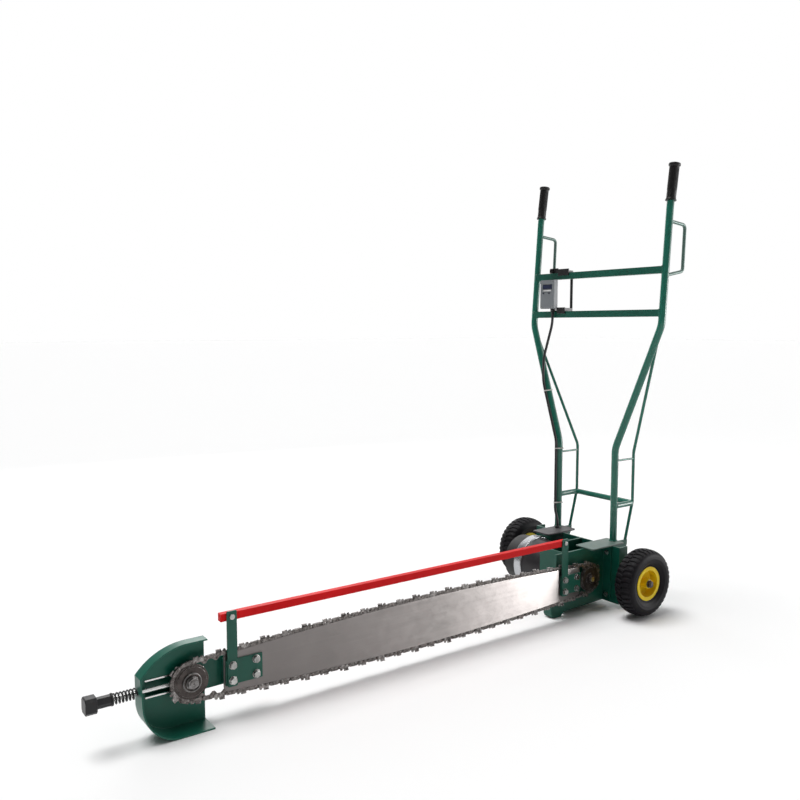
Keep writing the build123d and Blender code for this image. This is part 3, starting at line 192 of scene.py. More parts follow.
def feed(tree, socket, value):
    if isinstance(value, bpy.types.NodeSocket):
        tree.links.new(value, socket)
    else:
        socket.default_value = value


def mathNode(tree, operation, *values, clamp=False):
    node = tree.nodes.new("ShaderNodeMath")
    node.operation = operation
    node.use_clamp = clamp
    for socket, value in zip(node.inputs, values):
        feed(tree, socket, value)
    return node.outputs[0]


def noiseNode(tree, scale, detail=4.0, rough=0.55, vector=None):
    node = tree.nodes.new("ShaderNodeTexNoise")
    feed(tree, node.inputs["Scale"], scale)
    node.inputs["Detail"].default_value = detail
    node.inputs["Roughness"].default_value = rough
    place = vector or tree.nodes.new("ShaderNodeTexCoord").outputs["Object"]
    tree.links.new(place, node.inputs["Vector"])
    return node.outputs["Fac"]


def remap(tree, value, low, high, to=(0.0, 1.0)):
    node = tree.nodes.new("ShaderNodeMapRange")
    feed(tree, node.inputs["Value"], value)
    for label, number in (("From Min", low), ("From Max", high), ("To Min", to[0]), ("To Max", to[1])):
        feed(tree, node.inputs[label], number)
    return node.outputs["Result"]


def mixColor(tree, mask, first, second):
    node = tree.nodes.new("ShaderNodeMix")
    node.data_type = "RGBA"
    feed(tree, node.inputs[0], mask)
    feed(tree, node.inputs[6], first)
    feed(tree, node.inputs[7], second)
    return node.outputs[2]


# bright worn edges: real wear on the paints, and on the sprocket, nut, chain and cutters partly a painted
# highlight along the edges
def buildEdgeWearAndGlint():
    tree, given, made = newGroup(
        "edgeWearAndGlint",
        [("Radius", "Float", 0.002), ("Amount", "Float", 0.5), ("Grain", "Float", 60.0)],
        [("Mask", "Float"), ("Normal", "Vector")])
    bevel = tree.nodes.new("ShaderNodeBevel")
    bevel.samples = wearAndGlintLook["samples"]
    tree.links.new(given["Radius"], bevel.inputs["Radius"])
    flat = tree.nodes.new("ShaderNodeNewGeometry")
    dot = tree.nodes.new("ShaderNodeVectorMath")
    dot.operation = "DOT_PRODUCT"
    tree.links.new(bevel.outputs["Normal"], dot.inputs[0])
    tree.links.new(flat.outputs["Normal"], dot.inputs[1])
    bend = mathNode(tree, "SUBTRACT", 1.0, dot.outputs["Value"])
    edge = remap(tree, bend, *wearAndGlintLook["edge"])
    patchy = remap(tree, noiseNode(tree, given["Grain"], *wearAndGlintLook["patchNoise"]), *wearAndGlintLook["patch"])
    mask = mathNode(tree, "MULTIPLY", edge, patchy)
    mask = mathNode(tree, "MULTIPLY", mask, given["Amount"], clamp=True)
    tree.links.new(mask, made["Mask"])
    tree.links.new(bevel.outputs["Normal"], made["Normal"])
    return tree


def buildSkin():
    tree, given, made = newGroup(
        "paintSkin",
        [("Color", "Color", (0.5, 0.5, 0.5, 1)), ("Shade", "Color", (0.3, 0.3, 0.3, 1)),
         ("Patch", "Float", 6.0), ("Peel", "Float", 420.0), ("Gloss", "Float", 0.3)],
        [("Color", "Color"), ("Roughness", "Float"), ("Height", "Float")])
    broad = noiseNode(tree, given["Patch"], *skinLook["broadNoise"])
    fine = noiseNode(tree, given["Peel"], *skinLook["fineNoise"])
    scuff = noiseNode(tree, skinLook["scuffScale"], *skinLook["scuffNoise"])
    tone = remap(tree, broad, *skinLook["broad"])
    tree.links.new(mixColor(tree, tone, given["Shade"], given["Color"]), made["Color"])
    spread = remap(tree, scuff, *skinLook["scuff"], skinLook["scuffRough"])
    tree.links.new(mathNode(tree, "ADD", given["Gloss"], spread, clamp=True), made["Roughness"])
    tree.links.new(fine, made["Height"])
    return tree


def buildDust():
    tree, given, made = newGroup(
        "settledDust",
        [("Color", "Color", (0.5, 0.5, 0.5, 1)), ("Dust Color", "Color", (0.3, 0.27, 0.22, 1)),
         ("Amount", "Float", 0.3)],
        [("Color", "Color"), ("Mask", "Float")])
    place = tree.nodes.new("ShaderNodeTexCoord")
    split = tree.nodes.new("ShaderNodeSeparateXYZ")
    tree.links.new(place.outputs["Normal"], split.inputs[0])
    upward = remap(tree, split.outputs["Z"], *dustLook["upward"])
    clouds = noiseNode(tree, dustLook["cloudScale"], *dustLook["cloudNoise"])
    cloud = remap(tree, clouds, *dustLook["cloud"])
    mask = mathNode(tree, "MULTIPLY", upward, cloud)
    mask = mathNode(tree, "MULTIPLY", mask, given["Amount"], clamp=True)
    tree.links.new(mixColor(tree, mask, given["Color"], given["Dust Color"]), made["Color"])
    tree.links.new(mask, made["Mask"])
    return tree


def buildGrain():
    tree, given, made = newGroup(
        "drawnGrain",
        [("Stretch", "Vector", (300, 4, 300)), ("Strength", "Float", 0.5)],
        [("Value", "Float"), ("Height", "Float")])
    place = tree.nodes.new("ShaderNodeTexCoord")
    scaled = tree.nodes.new("ShaderNodeVectorMath")
    scaled.operation = "MULTIPLY"
    tree.links.new(place.outputs["Object"], scaled.inputs[0])
    tree.links.new(given["Stretch"], scaled.inputs[1])
    lines = noiseNode(tree, 1.0, *grainNoise, scaled.outputs["Vector"])
    value = mathNode(tree, "MULTIPLY", mathNode(tree, "SUBTRACT", lines, 0.5), given["Strength"])
    tree.links.new(value, made["Value"])
    tree.links.new(lines, made["Height"])
    return tree


edgeWearAndGlint = buildEdgeWearAndGlint()
paintSkin = buildSkin()
settledDust = buildDust()
drawnGrain = buildGrain()
print("shader groups built")


# finishes

# what a finish has where it doesn't say
plainLook = {
    "patch": 6.0, "peel": 420.0, "bump": 0.15, "bumpDepth": 0.0004,
    "wearAndGlint": 0.0, "wearAndGlintGrain": 70.0, "radius": 0.0015, "under": (0.45, 0.43, 0.41), "wornMetal": 0.9,
    "dust": 0.15, "dustColor": (0.35, 0.32, 0.28), "dustRough": 0.4, "dustDull": 0.7,
    "metal": 0.0, "grainDepth": 0.25, "coat": 0.0, "coatRough": 0.12, "spec": 0.35, "ior": 1.5,
}


def placeGroup(tree, group, **values):
    node = tree.nodes.new("ShaderNodeGroup")
    node.node_tree = group
    for label, value in values.items():
        feed(tree, node.inputs[label.replace("_", " ")], value)
    return node.outputs


def rgba(color):
    return (*color, 1)


def makeFinish(name, ownLook):
    look = {**plainLook, **ownLook}
    paint = bpy.data.materials.new(name)
    paint.use_nodes = True
    tree = paint.node_tree
    shader = tree.nodes["Principled BSDF"]
    skin = placeGroup(tree, paintSkin, Color=rgba(look["color"]), Shade=rgba(look["shade"]),
                      Patch=look["patch"], Peel=look["peel"], Gloss=look["rough"])
    wearAndGlint = placeGroup(tree, edgeWearAndGlint, Radius=look["radius"], Amount=look["wearAndGlint"], Grain=look["wearAndGlintGrain"])
    # the worn tone on the edges: real wear, and on the bare steels a painted highlight
    color = mixColor(tree, wearAndGlint["Mask"], skin["Color"], rgba(look["under"]))
    rough = skin["Roughness"]
    height = skin["Height"]
    if "grain" in look:
        grain = placeGroup(tree, drawnGrain, Stretch=look["grain"], Strength=look["grainDepth"])
        bright = mathNode(tree, "ADD", 1.0, grain["Value"])
        tone = tree.nodes.new("ShaderNodeHueSaturation")
        tree.links.new(bright, tone.inputs["Value"])
        tree.links.new(color, tone.inputs["Color"])
        color = tone.outputs["Color"]
        rough = mathNode(tree, "ADD", rough, grain["Value"], clamp=True)
        height = mathNode(tree, "ADD", height, grain["Height"])
    dust = placeGroup(tree, settledDust, Color=color, Amount=look["dust"], Dust_Color=rgba(look["dustColor"]))
    tree.links.new(dust["Color"], shader.inputs["Base Color"])
    dusty = mathNode(tree, "MULTIPLY", dust["Mask"], look["dustRough"])
    rough = mathNode(tree, "ADD", rough, dusty, clamp=True)
    tree.links.new(rough, shader.inputs["Roughness"])
    if look["metal"] > 0:
        dull = mathNode(tree, "MULTIPLY", dust["Mask"], look["dustDull"])
        tree.links.new(mathNode(tree, "SUBTRACT", look["metal"], dull, clamp=True), shader.inputs["Metallic"])
    else:
        tree.links.new(mathNode(tree, "MULTIPLY", wearAndGlint["Mask"], look["wornMetal"]), shader.inputs["Metallic"])
    bump = tree.nodes.new("ShaderNodeBump")
    bump.inputs["Strength"].default_value = look["bump"]
    bump.inputs["Distance"].default_value = look["bumpDepth"]
    tree.links.new(height, bump.inputs["Height"])
    tree.links.new(wearAndGlint["Normal"], bump.inputs["Normal"])
    tree.links.new(bump.outputs["Normal"], shader.inputs["Normal"])
    shader.inputs["Coat Weight"].default_value = look["coat"]
    shader.inputs["Coat Roughness"].default_value = look["coatRough"]
    shader.inputs["Specular IOR Level"].default_value = look["spec"]
    shader.inputs["IOR"].default_value = look["ior"]
    if "brushed" in look:  # shine that spreads up and down, across the grinding lines
        shader.inputs["Anisotropic"].default_value = look["brushed"]
        shader.inputs["Anisotropic Rotation"].default_value = 0.25  # a quarter turn
        along = tree.nodes.new("ShaderNodeTangent")
        along.direction_type = "RADIAL"
        along.axis = "Z"
        tree.links.new(along.outputs["Tangent"], shader.inputs["Tangent"])
    return paint


finishes = {
    "tubeGreen": {"color": (0.010, 0.155, 0.105), "shade": (0.008, 0.130, 0.088), "rough": 0.24,
                  "coat": 0.3, "wearAndGlint": 0.25, "dust": 0.02},
    # darker copy of the frame green: painted shade on the plates and crossbars, whose faces turn away from
    # the light
    "plateGreen": {"color": (0.005, 0.100, 0.066), "shade": (0.003, 0.080, 0.053), "rough": 0.32,
                   "coat": 0.05, "spec": 0.3, "wearAndGlint": 0.3, "dust": 0.03},
    "guardGreen": {"color": (0.005, 0.118, 0.078), "shade": (0.003, 0.095, 0.062), "rough": 0.34,
                   "coat": 0.05, "spec": 0.3, "wearAndGlint": 0.4, "dust": 0.03},
    "barRed": {"color": (0.74, 0.008, 0.010), "shade": (0.64, 0.006, 0.008), "rough": 0.45, "spec": 0.08,
               "wearAndGlint": 0.15, "dust": 0.01},
    "rimYellow": {"color": (0.90, 0.66, 0.015), "shade": (0.84, 0.58, 0.010), "rough": 0.32, "spec": 0.15,
                  "wearAndGlint": 0.2, "dust": 0.03},
    "lidGreen": {"color": (0.105, 0.165, 0.145), "shade": (0.075, 0.125, 0.108), "rough": 0.42,
                 "wearAndGlint": 0.6, "dust": 0.25},
    "motorGrey": {"color": (0.036, 0.033, 0.040), "shade": (0.026, 0.024, 0.030), "rough": 0.45,
                  "wearAndGlint": 0.6, "dust": 0.25, "bump": 0.25},
    "castGrey": {"color": (0.024, 0.021, 0.024), "shade": (0.014, 0.013, 0.015), "rough": 0.34,
                 "wearAndGlint": 0.5, "dust": 0.06, "bump": 0.5, "peel": 260.0, "bumpDepth": 0.0008},
    "motorBand": {"color": (0.52, 0.53, 0.55), "shade": (0.36, 0.37, 0.39), "rough": 0.22, "metal": 1.0,
                  "grain": (400, 40, 40), "grainDepth": 0.2, "dust": 0.1},
    "bareRod": {"color": (0.125, 0.20, 0.175), "shade": (0.085, 0.15, 0.13), "rough": 0.34, "metal": 0.15,
                "grain": (200, 200, 20), "grainDepth": 0.2, "dust": 0.05},
    "zincSteel": {"color": (0.50, 0.50, 0.49), "shade": (0.24, 0.24, 0.23), "rough": 0.24, "metal": 1.0,
                  "grain": (300, 300, 300), "grainDepth": 0.25, "dust": 0.12, "patch": 40.0},
    "brightSteel": {"color": (0.72, 0.72, 0.71), "shade": (0.55, 0.55, 0.54), "rough": 0.2, "metal": 1.0,
                    "grain": (400, 12, 400), "grainDepth": 0.2, "dust": 0.05},
    "sawSteel": {"color": (0.19, 0.175, 0.17), "shade": (0.155, 0.145, 0.14), "rough": 0.38,
                 "metal": 0.95, "brushed": 0.8, "grain": (500, 3, 500), "grainDepth": 0.16, "dust": 0.10,
                 "patch": 4.0, "wearAndGlint": 0.4},
    # chain and cutters: the fine speckle of light and dark steel and the bright edges are painted glints, the
    # edges partly real wear
    "chainSteel": {"color": (0.24, 0.22, 0.21), "shade": (0.035, 0.030, 0.028), "rough": 0.34,
                   "metal": 0.9, "dust": 0.12, "patch": 130.0, "wearAndGlint": 1.0, "under": (0.75, 0.73, 0.70),
                   "radius": 0.0008, "wearAndGlintGrain": 180.0, "bump": 0.3},
    "cutterSteel": {"color": (0.34, 0.32, 0.31), "shade": (0.05, 0.044, 0.042), "rough": 0.28,
                    "metal": 0.95, "dust": 0.08, "patch": 120.0, "wearAndGlint": 1.0, "under": (0.85, 0.84, 0.82),
                    "radius": 0.0008, "wearAndGlintGrain": 120.0, "bump": 0.3},
    # sprocket and nut: the bright edges paint the highlight ring round the hub, partly real wear
    "sprocketSteel": {"color": (0.085, 0.072, 0.068), "shade": (0.035, 0.030, 0.028), "rough": 0.36,
                      "metal": 0.8, "dust": 0.1, "patch": 60.0, "wearAndGlint": 1.0, "under": (0.55, 0.53, 0.51),
                      "bump": 0.35},
    "nutSteel": {"color": (0.27, 0.26, 0.26), "shade": (0.12, 0.115, 0.11), "rough": 0.32, "metal": 0.95,
                 "dust": 0.08, "patch": 90.0, "wearAndGlint": 0.8, "under": (0.7, 0.69, 0.68), "bump": 0.3},
    "blackSteel": {"color": (0.013, 0.013, 0.015), "shade": (0.008, 0.008, 0.009), "rough": 0.36,
                   "wearAndGlint": 0.6, "dust": 0.1},
    "blackPlastic": {"color": (0.014, 0.014, 0.016), "shade": (0.009, 0.009, 0.010), "rough": 0.5,
                     "dust": 0.12, "bump": 0.4, "peel": 700.0},
    "cableSkin": {"color": (0.018, 0.018, 0.022), "shade": (0.011, 0.011, 0.013), "rough": 0.45,
                  "dust": 0.1, "bump": 0.2},
    "tyreRubber": {"color": (0.013, 0.012, 0.0145), "shade": (0.008, 0.0075, 0.009), "rough": 0.5,
                   "dust": 0.10, "dustColor": (0.15, 0.14, 0.13), "spec": 0.10, "bump": 0.5,
                   "peel": 350.0, "bumpDepth": 0.0006},
    "gripRubber": {"color": (0.006, 0.005, 0.005), "shade": (0.004, 0.0035, 0.0035), "rough": 0.42,
                   "dust": 0.02, "spec": 0.3, "bump": 0.5, "peel": 600.0},
    # the lid's grey, darker than the shell's: painted shade on the front face, which turns away from the
    # light
    "boxGrey": {"color": (0.215, 0.235, 0.25), "shade": (0.185, 0.20, 0.215), "rough": 0.5, "dust": 0.06,
                "bump": 0.35, "peel": 900.0},
    "boxShell": {"color": (0.46, 0.47, 0.49), "shade": (0.40, 0.41, 0.43), "rough": 0.5, "dust": 0.06,
                 "bump": 0.35, "peel": 900.0},
    "displayBlue": {"color": (0.012, 0.022, 0.07), "shade": (0.008, 0.014, 0.045), "rough": 0.12,
                    "coat": 0.8, "dust": 0.02},
    "stripWhite": {"color": (0.80, 0.80, 0.80), "shade": (0.70, 0.70, 0.70), "rough": 0.4, "dust": 0.03},
    "tieWhite": {"color": (0.74, 0.74, 0.70), "shade": (0.62, 0.62, 0.58), "rough": 0.4, "dust": 0.1},
    "buttonDark": {"color": (0.03, 0.035, 0.06), "shade": (0.02, 0.024, 0.04), "rough": 0.3, "coat": 0.2},
    "boardGreen": {"color": (0.01, 0.12, 0.05), "shade": (0.008, 0.09, 0.04), "rough": 0.4},
    "laminate": {"color": (0.16, 0.15, 0.145), "shade": (0.11, 0.10, 0.10), "rough": 0.5, "metal": 0.7,
                 "grain": (900, 10, 10), "grainDepth": 0.5},
}
finish = {name: makeFinish(name, look) for name, look in finishes.items()}

nodeFinish = {
    "tubeGreen": ("main_tubes", "lower_stay", "brace_rods"),
    # the crossbars and plates take the darker green, which carries painted shade
    "plateGreen": ("crossbars", "drive_plate", "rear_channel", "frame_gussets", "base_walls", "bar_clamps",
                   "guard_posts"),
    "guardGreen": ("nose_guard",),
    "barRed": ("guard_bar",),
    "rimYellow": ("left_rim", "right_rim"),
    "lidGreen": ("sprocket_cover",),
    "motorGrey": ("motor_cover", "terminal_box"),
    "castGrey": ("motor_shields", "bearing_carrier"),
    "motorBand": ("motor_housing",),
    "bareRod": ("hand_hoops",),
    "zincSteel": ("frame_fasteners", "bar_bolts", "bar_nuts", "shaft_bearings", "drive_shaft"),
    "brightSteel": ("slide_rails", "tension_rod", "nose_bearing"),
    "sawSteel": ("bar_plate",),
    "chainSteel": ("chain_drive_links", "chain_straps"),
    "cutterSteel": ("chain_cutters",),
    "sprocketSteel": ("drive_sprocket", "sprocket_nut", "nose_sprocket", "nose_carriage", "axle_fasteners",
                      "axle"),
    "nutSteel": ("nose_nut",),
    "blackSteel": ("tension_knob", "tension_spring", "control_bracket", "left_hub_parts", "right_hub_parts"),
    "blackPlastic": ("fan_cowl", "motor_fan", "cable_fittings"),
    "cableSkin": ("motor_cable",),
    "tyreRubber": ("left_tyre", "right_tyre"),
    "gripRubber": ("handle_grips",),
    "boxShell": ("box_body",),
    # the lid's darker grey is painted shade
    "boxGrey": ("box_lid",),
    "displayBlue": ("display_window",),
    "buttonDark": ("start_button", "stop_button"),
    "boardGreen": ("control_board",),
    "laminate": ("motor_stator", "motor_rotor"),
}
softEdges = {
    "drive_plate": 0.0008, "rear_channel": 0.0008, "base_walls": 0.0008, "bar_clamps": 0.0007,
    "guard_posts": 0.0007, "sprocket_cover": 0.001, "motor_cover": 0.001, "nose_guard": 0.0009,
    "guard_bar": 0.0014, "crossbars": 0.0018, "box_body": 0.0008, "box_lid": 0.0006, "tension_knob": 0.0012,
    "control_bracket": 0.0005, "slide_rails": 0.0004, "frame_fasteners": 0.0005, "bar_bolts": 0.0007,
    "bar_nuts": 0.0004, "axle_fasteners": 0.0006,
}
weldGap = 0.00002  # vertices nearer than this are one
softLook = {"flatDegrees": 0.6, "cornerDegrees": 42, "segments": 2}


def dressNodes():
    for name, nodes in nodeFinish.items():
        for node in nodes:
            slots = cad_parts[node].material_slots
            for slot in slots:
                slot.material = finish[name]
            if not slots:
                raise RuntimeError("no material slot on " + node)


def soften(node, width):
    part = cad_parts[node]
    weld = part.modifiers.new("weld", "WELD")
    weld.merge_threshold = weldGap
    flat = part.modifiers.new("flat", "DECIMATE")
    flat.decimate_type = "DISSOLVE"
    flat.angle_limit = math.radians(softLook["flatDegrees"])
    edge = part.modifiers.new("edge", "BEVEL")
    edge.width = width
    edge.segments = softLook["segments"]
    edge.limit_method = "ANGLE"
    edge.angle_limit = math.radians(softLook["cornerDegrees"])
    edge.use_clamp_overlap = True
    part.modifiers.new("normals", "WEIGHTED_NORMAL").keep_sharp = True


dressNodes()
for node, width in softEdges.items():
    soften(node, width)
print("finishes on", sum(len(n) for n in nodeFinish.values()), "nodes")


# mesh helpers

def addPiece(name, verts, faces, material, body, slot, sharp=35):
    mesh = bpy.data.meshes.new(name)
    mesh.from_pydata([tuple(v) for v in verts], [], faces)
    mesh.validate()
    work = bmesh.new()
    work.from_mesh(mesh)
    bmesh.ops.recalc_face_normals(work, faces=work.faces)
    work.to_mesh(mesh)
    work.free()
    mesh.shade_smooth()
    mesh.set_sharp_from_angle(angle=math.radians(sharp))
    mesh.materials.append(finish[material])
    piece = bpy.data.objects.new(name, mesh)
    scene.collection.objects.link(piece)
    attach(piece, body)
    return piece


def squareTo(direction):
    direction = Vector(direction).normalized()
    side = direction.orthogonal().normalized()
    return direction, side, direction.cross(side)


def ringFaces(rows, count, closedRows=False):
    faces = []
    for i in range(rows if closedRows else rows - 1):
        a, b = i * count, ((i + 1) % rows) * count
        for j in range(count):
            k = (j + 1) % count
            faces.append((a + j, a + k, b + k, b + j))
    return faces


def turned(profile, origin, axis, count, wave=None, side=None):
    # rings of (along, radius) about an axis, closed into a loop
    axis, u, v = squareTo(axis)
    if side:
        u = Vector(side)
        v = axis.cross(u)
    verts = []
    for along, radius in profile:
        for j in range(count):
            a = 2 * math.pi * j / count
            r = radius + (wave(along, a) if wave else 0)
            verts.append(Vector(origin) + axis * along + (u * math.cos(a) + v * math.sin(a)) * r)
    return verts, ringFaces(len(profile), count, True)


def smoothLine(points, steps):
    # Catmull-Rom through the points
    out = []
    last = len(points) - 1
    for i in range(last):
        p = [Vector(points[max(0, min(last, i + d))]) for d in (-1, 0, 1, 2)]
        for s in range(steps):
            t = s / steps
            out.append(0.5 * (2 * p[1] + (p[2] - p[0]) * t + (2 * p[0] - 5 * p[1] + 4 * p[2] - p[3]) * t ** 2
                              + (3 * p[1] - p[0] - 3 * p[2] + p[3]) * t ** 3))
    out.append(Vector(points[last]))
    return out


# tyres

tyreLook = {
    "shoulder": [(0.0255, 0.0545), (0.0262, 0.066), (0.0345, 0.077), (0.0405, 0.088), (0.0418, 0.100),
                 (0.0385, 0.1115), (0.0300, 0.1190), (0.0160, 0.1225), (0.0, 0.1232)],
    "around": 152, "rib": 0.0008, "ribs": 5, "ribBand": (0.070, 0.100),
    "lugs": 38, "lugWidth": 0.55, "lugRise": 0.0042, "lugFall": 0.45, "lugSkew": 0.06,
    "lugSwing": (0.35, 0.4), "lugRoot": 0.002, "lugWaist": 0.82, "lugShares": (0.56, 0.50, 0.42),
    "lugFlare": (0.8, 0.5, 1.05), "sideX": 0.03, "reach": 0.1299,
    "lugSteps": (0.995, 0.94, 0.89, 0.845, 0.80, 0.755, 0.71),
}


def tyreProfile():
    # half of the section, as (across, radius)
    half = smoothLine(tyreLook["shoulder"], 6)
    inner, outer = tyreLook["ribBand"]
    for p in half:
        if inner < p.y < outer:
            turns = (p.y - inner) / (outer - inner) * tyreLook["ribs"]
            p.x += tyreLook["rib"] * max(0, math.sin(turns * math.pi))
    return half


def addLug(verts, faces, half, centre, start, sign, width):
    # a block that follows the tread's curve from near the crown out over the shoulder
    last = len(half) - 1
    steps = tyreLook["lugSteps"]
    swing, drift = tyreLook["lugSwing"]
    rootShare, waistShare, topShare = tyreLook["lugShares"]
    crownWide, flare, sideWide = tyreLook["lugFlare"]
    rows = []
    for n, share in enumerate(steps):
        i = share * last
        low = int(i)
        here = half[low].lerp(half[min(last, low + 1)], i - low)
        ahead, behind = half[min(last, low + 2)], half[max(0, low - 2)]
        out = Vector((behind.y - ahead.y, ahead.x - behind.x)).normalized()
        if out.y < 0:
            out = -out
        if here.x > tyreLook["sideX"] and out.x < 0:
            out = -out
        t = n / (len(steps) - 1)
        rise = tyreLook["lugRise"] * (1 - tyreLook["lugFall"] * t * t)
        skew = tyreLook["lugSkew"] * (math.sin(t * math.pi) * swing + t * drift)
        wide = width * (crownWide + flare * t if t < 0.5 else sideWide)
        rows.append((here, out, rise, skew, wide))
    base = len(verts)
    for here, out, rise, skew, wide in rows:
        root = here - out * tyreLook["lugRoot"]
        top = here + out * rise
        waist = here + out * rise * tyreLook["lugWaist"]
        for point, share in ((root, rootShare), (waist, waistShare), (top, topShare),
                             (top, -topShare), (waist, -waistShare), (root, -rootShare)):
            a = start + skew + wide * share
            r = min(point.y, tyreLook["reach"])
            verts.append((centre.x + sign * point.x, centre.y + r * math.sin(a), centre.z + r * math.cos(a)))
    for n in range(len(rows) - 1):
        for j in range(6):
            k = (j + 1) % 6
            faces.append((base + 6 * n + j, base + 6 * n + k, base + 6 * n + 6 + k, base + 6 * n + 6 + j))
    end = base + 6 * (len(rows) - 1)
    faces.append(tuple(base + j for j in range(6)))
    faces.append(tuple(end + 5 - j for j in range(6)))


def makeTyre(side, node):
    low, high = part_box(node)
    centre = (low + high) / 2
    half = tyreProfile()
    profile = [(-p.x, p.y) for p in half[:-1]] + [(p.x, p.y) for p in reversed(half)]
    verts, faces = turned(profile, centre, (1, 0, 0), tyreLook["around"], side=(0, 0, 1))
    pitch = 2 * math.pi / tyreLook["lugs"]
    for i in range(tyreLook["lugs"]):
        addLug(verts, faces, half, centre, i * pitch, 1, pitch * tyreLook["lugWidth"])
        addLug(verts, faces, half, centre, (i + 0.5) * pitch, -1, pitch * tyreLook["lugWidth"])
    tyre = addPiece(side + "Tyre", verts, faces, "tyreRubber", side + "_wheel", "tyre_rubber", 38)
    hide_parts(node)


makeTyre("left", "left_tyre")
makeTyre("right", "right_tyre")
print("tyres made")


# grips

gripLook = {
    "length": 0.140, "bore": 0.0141, "lean": 0.133, "reach": 0.022, "around": 104,
    "collar": [(0.0, 0.0200), (0.001, 0.0205), (0.0035, 0.0205), (0.006, 0.0188), (0.008, 0.0180)],
    "ribs": 9, "ribFrom": 0.010, "ribPitch": 0.0026, "ribR": 0.0180, "ribDepth": 0.0006,
    "step": [(0.036, 0.0178), (0.037, 0.0174)],
    "palmFrom": 0.040, "palmLong": 0.084, "palmR": 0.0178,
    "flutes": 26, "fluteFrom": 0.039, "fluteTo": 0.125, "fluteDepth": 0.0005,
    "head": [(0.126, 0.0180), (0.1275, 0.0190), (0.1295, 0.0212), (0.1315, 0.0219), (0.1365, 0.0219),
             (0.1385, 0.0208), (0.1398, 0.0185), (0.1400, 0.0150), (0.1400, 0.0060), (0.1400, 0.0010),
             (0.1362, 0.0010)],
    "headFloor": 0.1362,
}


def gripEnds():
    # where the grips stand across, the height of their ends and the way they lean
    low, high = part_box("handle_grips")
    lean = Vector((0, gripLook["lean"], 1)).normalized()
    reach = gripLook["reach"]
    top = Vector((0, high.y - reach * lean.z, high.z - reach * lean.y))
    return (low.x + reach, high.x - reach), top, lean


def gripOutline():
    # (along, radius) from the collar to the head and back to the bore
    outline = [(0.0, gripLook["bore"]), *gripLook["collar"]]
    for i in range(gripLook["ribs"] * 4 + 1):
        t = i / 4
        dip = gripLook["ribDepth"] * (0.5 - 0.5 * math.cos(2 * math.pi * t))
        outline.append((gripLook["ribFrom"] + t * gripLook["ribPitch"], gripLook["ribR"] - dip))
    outline += gripLook["step"]
    outline += [(gripLook["palmFrom"] + gripLook["palmLong"] * i / 10, gripLook["palmR"]) for i in range(11)]
    outline += gripLook["head"]
    outline.append((gripLook["headFloor"], gripLook["bore"]))
    return outline


def gripFlute(along, angle):
    if gripLook["fluteFrom"] < along < gripLook["fluteTo"]:
        return gripLook["fluteDepth"] * math.cos(gripLook["flutes"] * angle)
    return 0


def makeGrip(side, x, top, lean):
    base = Vector((x, top.y, top.z)) - lean * gripLook["length"]
    verts, faces = turned(gripOutline(), base, lean, gripLook["around"], gripFlute)
    grip = addPiece(side + "Grip", verts, faces, "gripRubber", "frame", "black_rubber", 50)
    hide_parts("handle_grips")


gripX, gripTop, gripLean = gripEnds()
makeGrip("left", gripX[0], gripTop, gripLean)
makeGrip("right", gripX[1], gripTop, gripLean)
print("grips made")


# tension screw

screwLook = {"pitch": 0.0025, "depth": 0.0007, "around": 20, "steps": 4}


def makeScrew():
    low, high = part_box("tension_rod")
    radius = (high.x - low.x) / 2
    middle = (low + high) / 2
    count = int((high.y - low.y) / screwLook["pitch"] * screwLook["steps"])
    verts = []
    for i in range(count + 1):
        y = low.y + (high.y - low.y) * i / count
        for j in range(screwLook["around"]):
            turn = j / screwLook["around"]
            phase = ((y - low.y) / screwLook["pitch"] + turn) % 1
            r = radius - screwLook["depth"] * (1 - abs(2 * phase - 1))
            if i in (0, count):
                r = radius - screwLook["depth"]
            a = 2 * math.pi * turn
            verts.append((middle.x + r * math.cos(a), y, middle.z + r * math.sin(a)))
    faces = ringFaces(count + 1, screwLook["around"])
    faces.append(tuple(range(screwLook["around"])))
    faces.append(tuple(len(verts) - 1 - j for j in range(screwLook["around"])))
    rod = addPiece("tensionScrew", verts, faces, "brightSteel", "tension_screw", "steel", 60)
    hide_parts("tension_rod")


makeScrew()


# outlines of (along, radius) out from the sprocket's right face
noseLook = {
    "cap": [(-0.0035, 0.0002), (-0.0035, 0.0102), (-0.0006, 0.0102), (0.0002, 0.0098), (0.0006, 0.0088),
            (0.0006, 0.0026), (-0.0002, 0.0018), (-0.0006, 0.0002)],
    "capAround": 48,
    "ring": [(-0.0010, 0.0215), (-0.0010, 0.0268), (0.0022, 0.0268), (0.0032, 0.0260), (0.0034, 0.0245),
             (0.0026, 0.0232), (0.0006, 0.0222)],
    "ringAround": 72,
}


def rightFace(node, centred):
    # the point on a node's right side, level with the middle of another
    low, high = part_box(centred)
    return Vector((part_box(node)[1].x, (low.y + high.y) / 2, (low.z + high.z) / 2))


def makePinCap():
    # the bright end of the nose sprocket's pin, with its centre drill mark
    centre = rightFace("nose_carriage", "nose_nut")
    verts, faces = turned(noseLook["cap"], centre, (1, 0, 0), noseLook["capAround"])
    addPiece("pinCap", verts, faces, "nutSteel", "carriage", "steel", 40)


def makeHubRing():
    # the raised collar of the nose sprocket round its washer
    centre = rightFace("nose_sprocket", "nose_sprocket")
    verts, faces = turned(noseLook["ring"], centre, (1, 0, 0), noseLook["ringAround"])
    addPiece("hubRing", verts, faces, "nutSteel", "nose_wheel", "steel", 40)


makePinCap()
makeHubRing()
print("tension screw, pin cap and hub ring made")


# weld beads

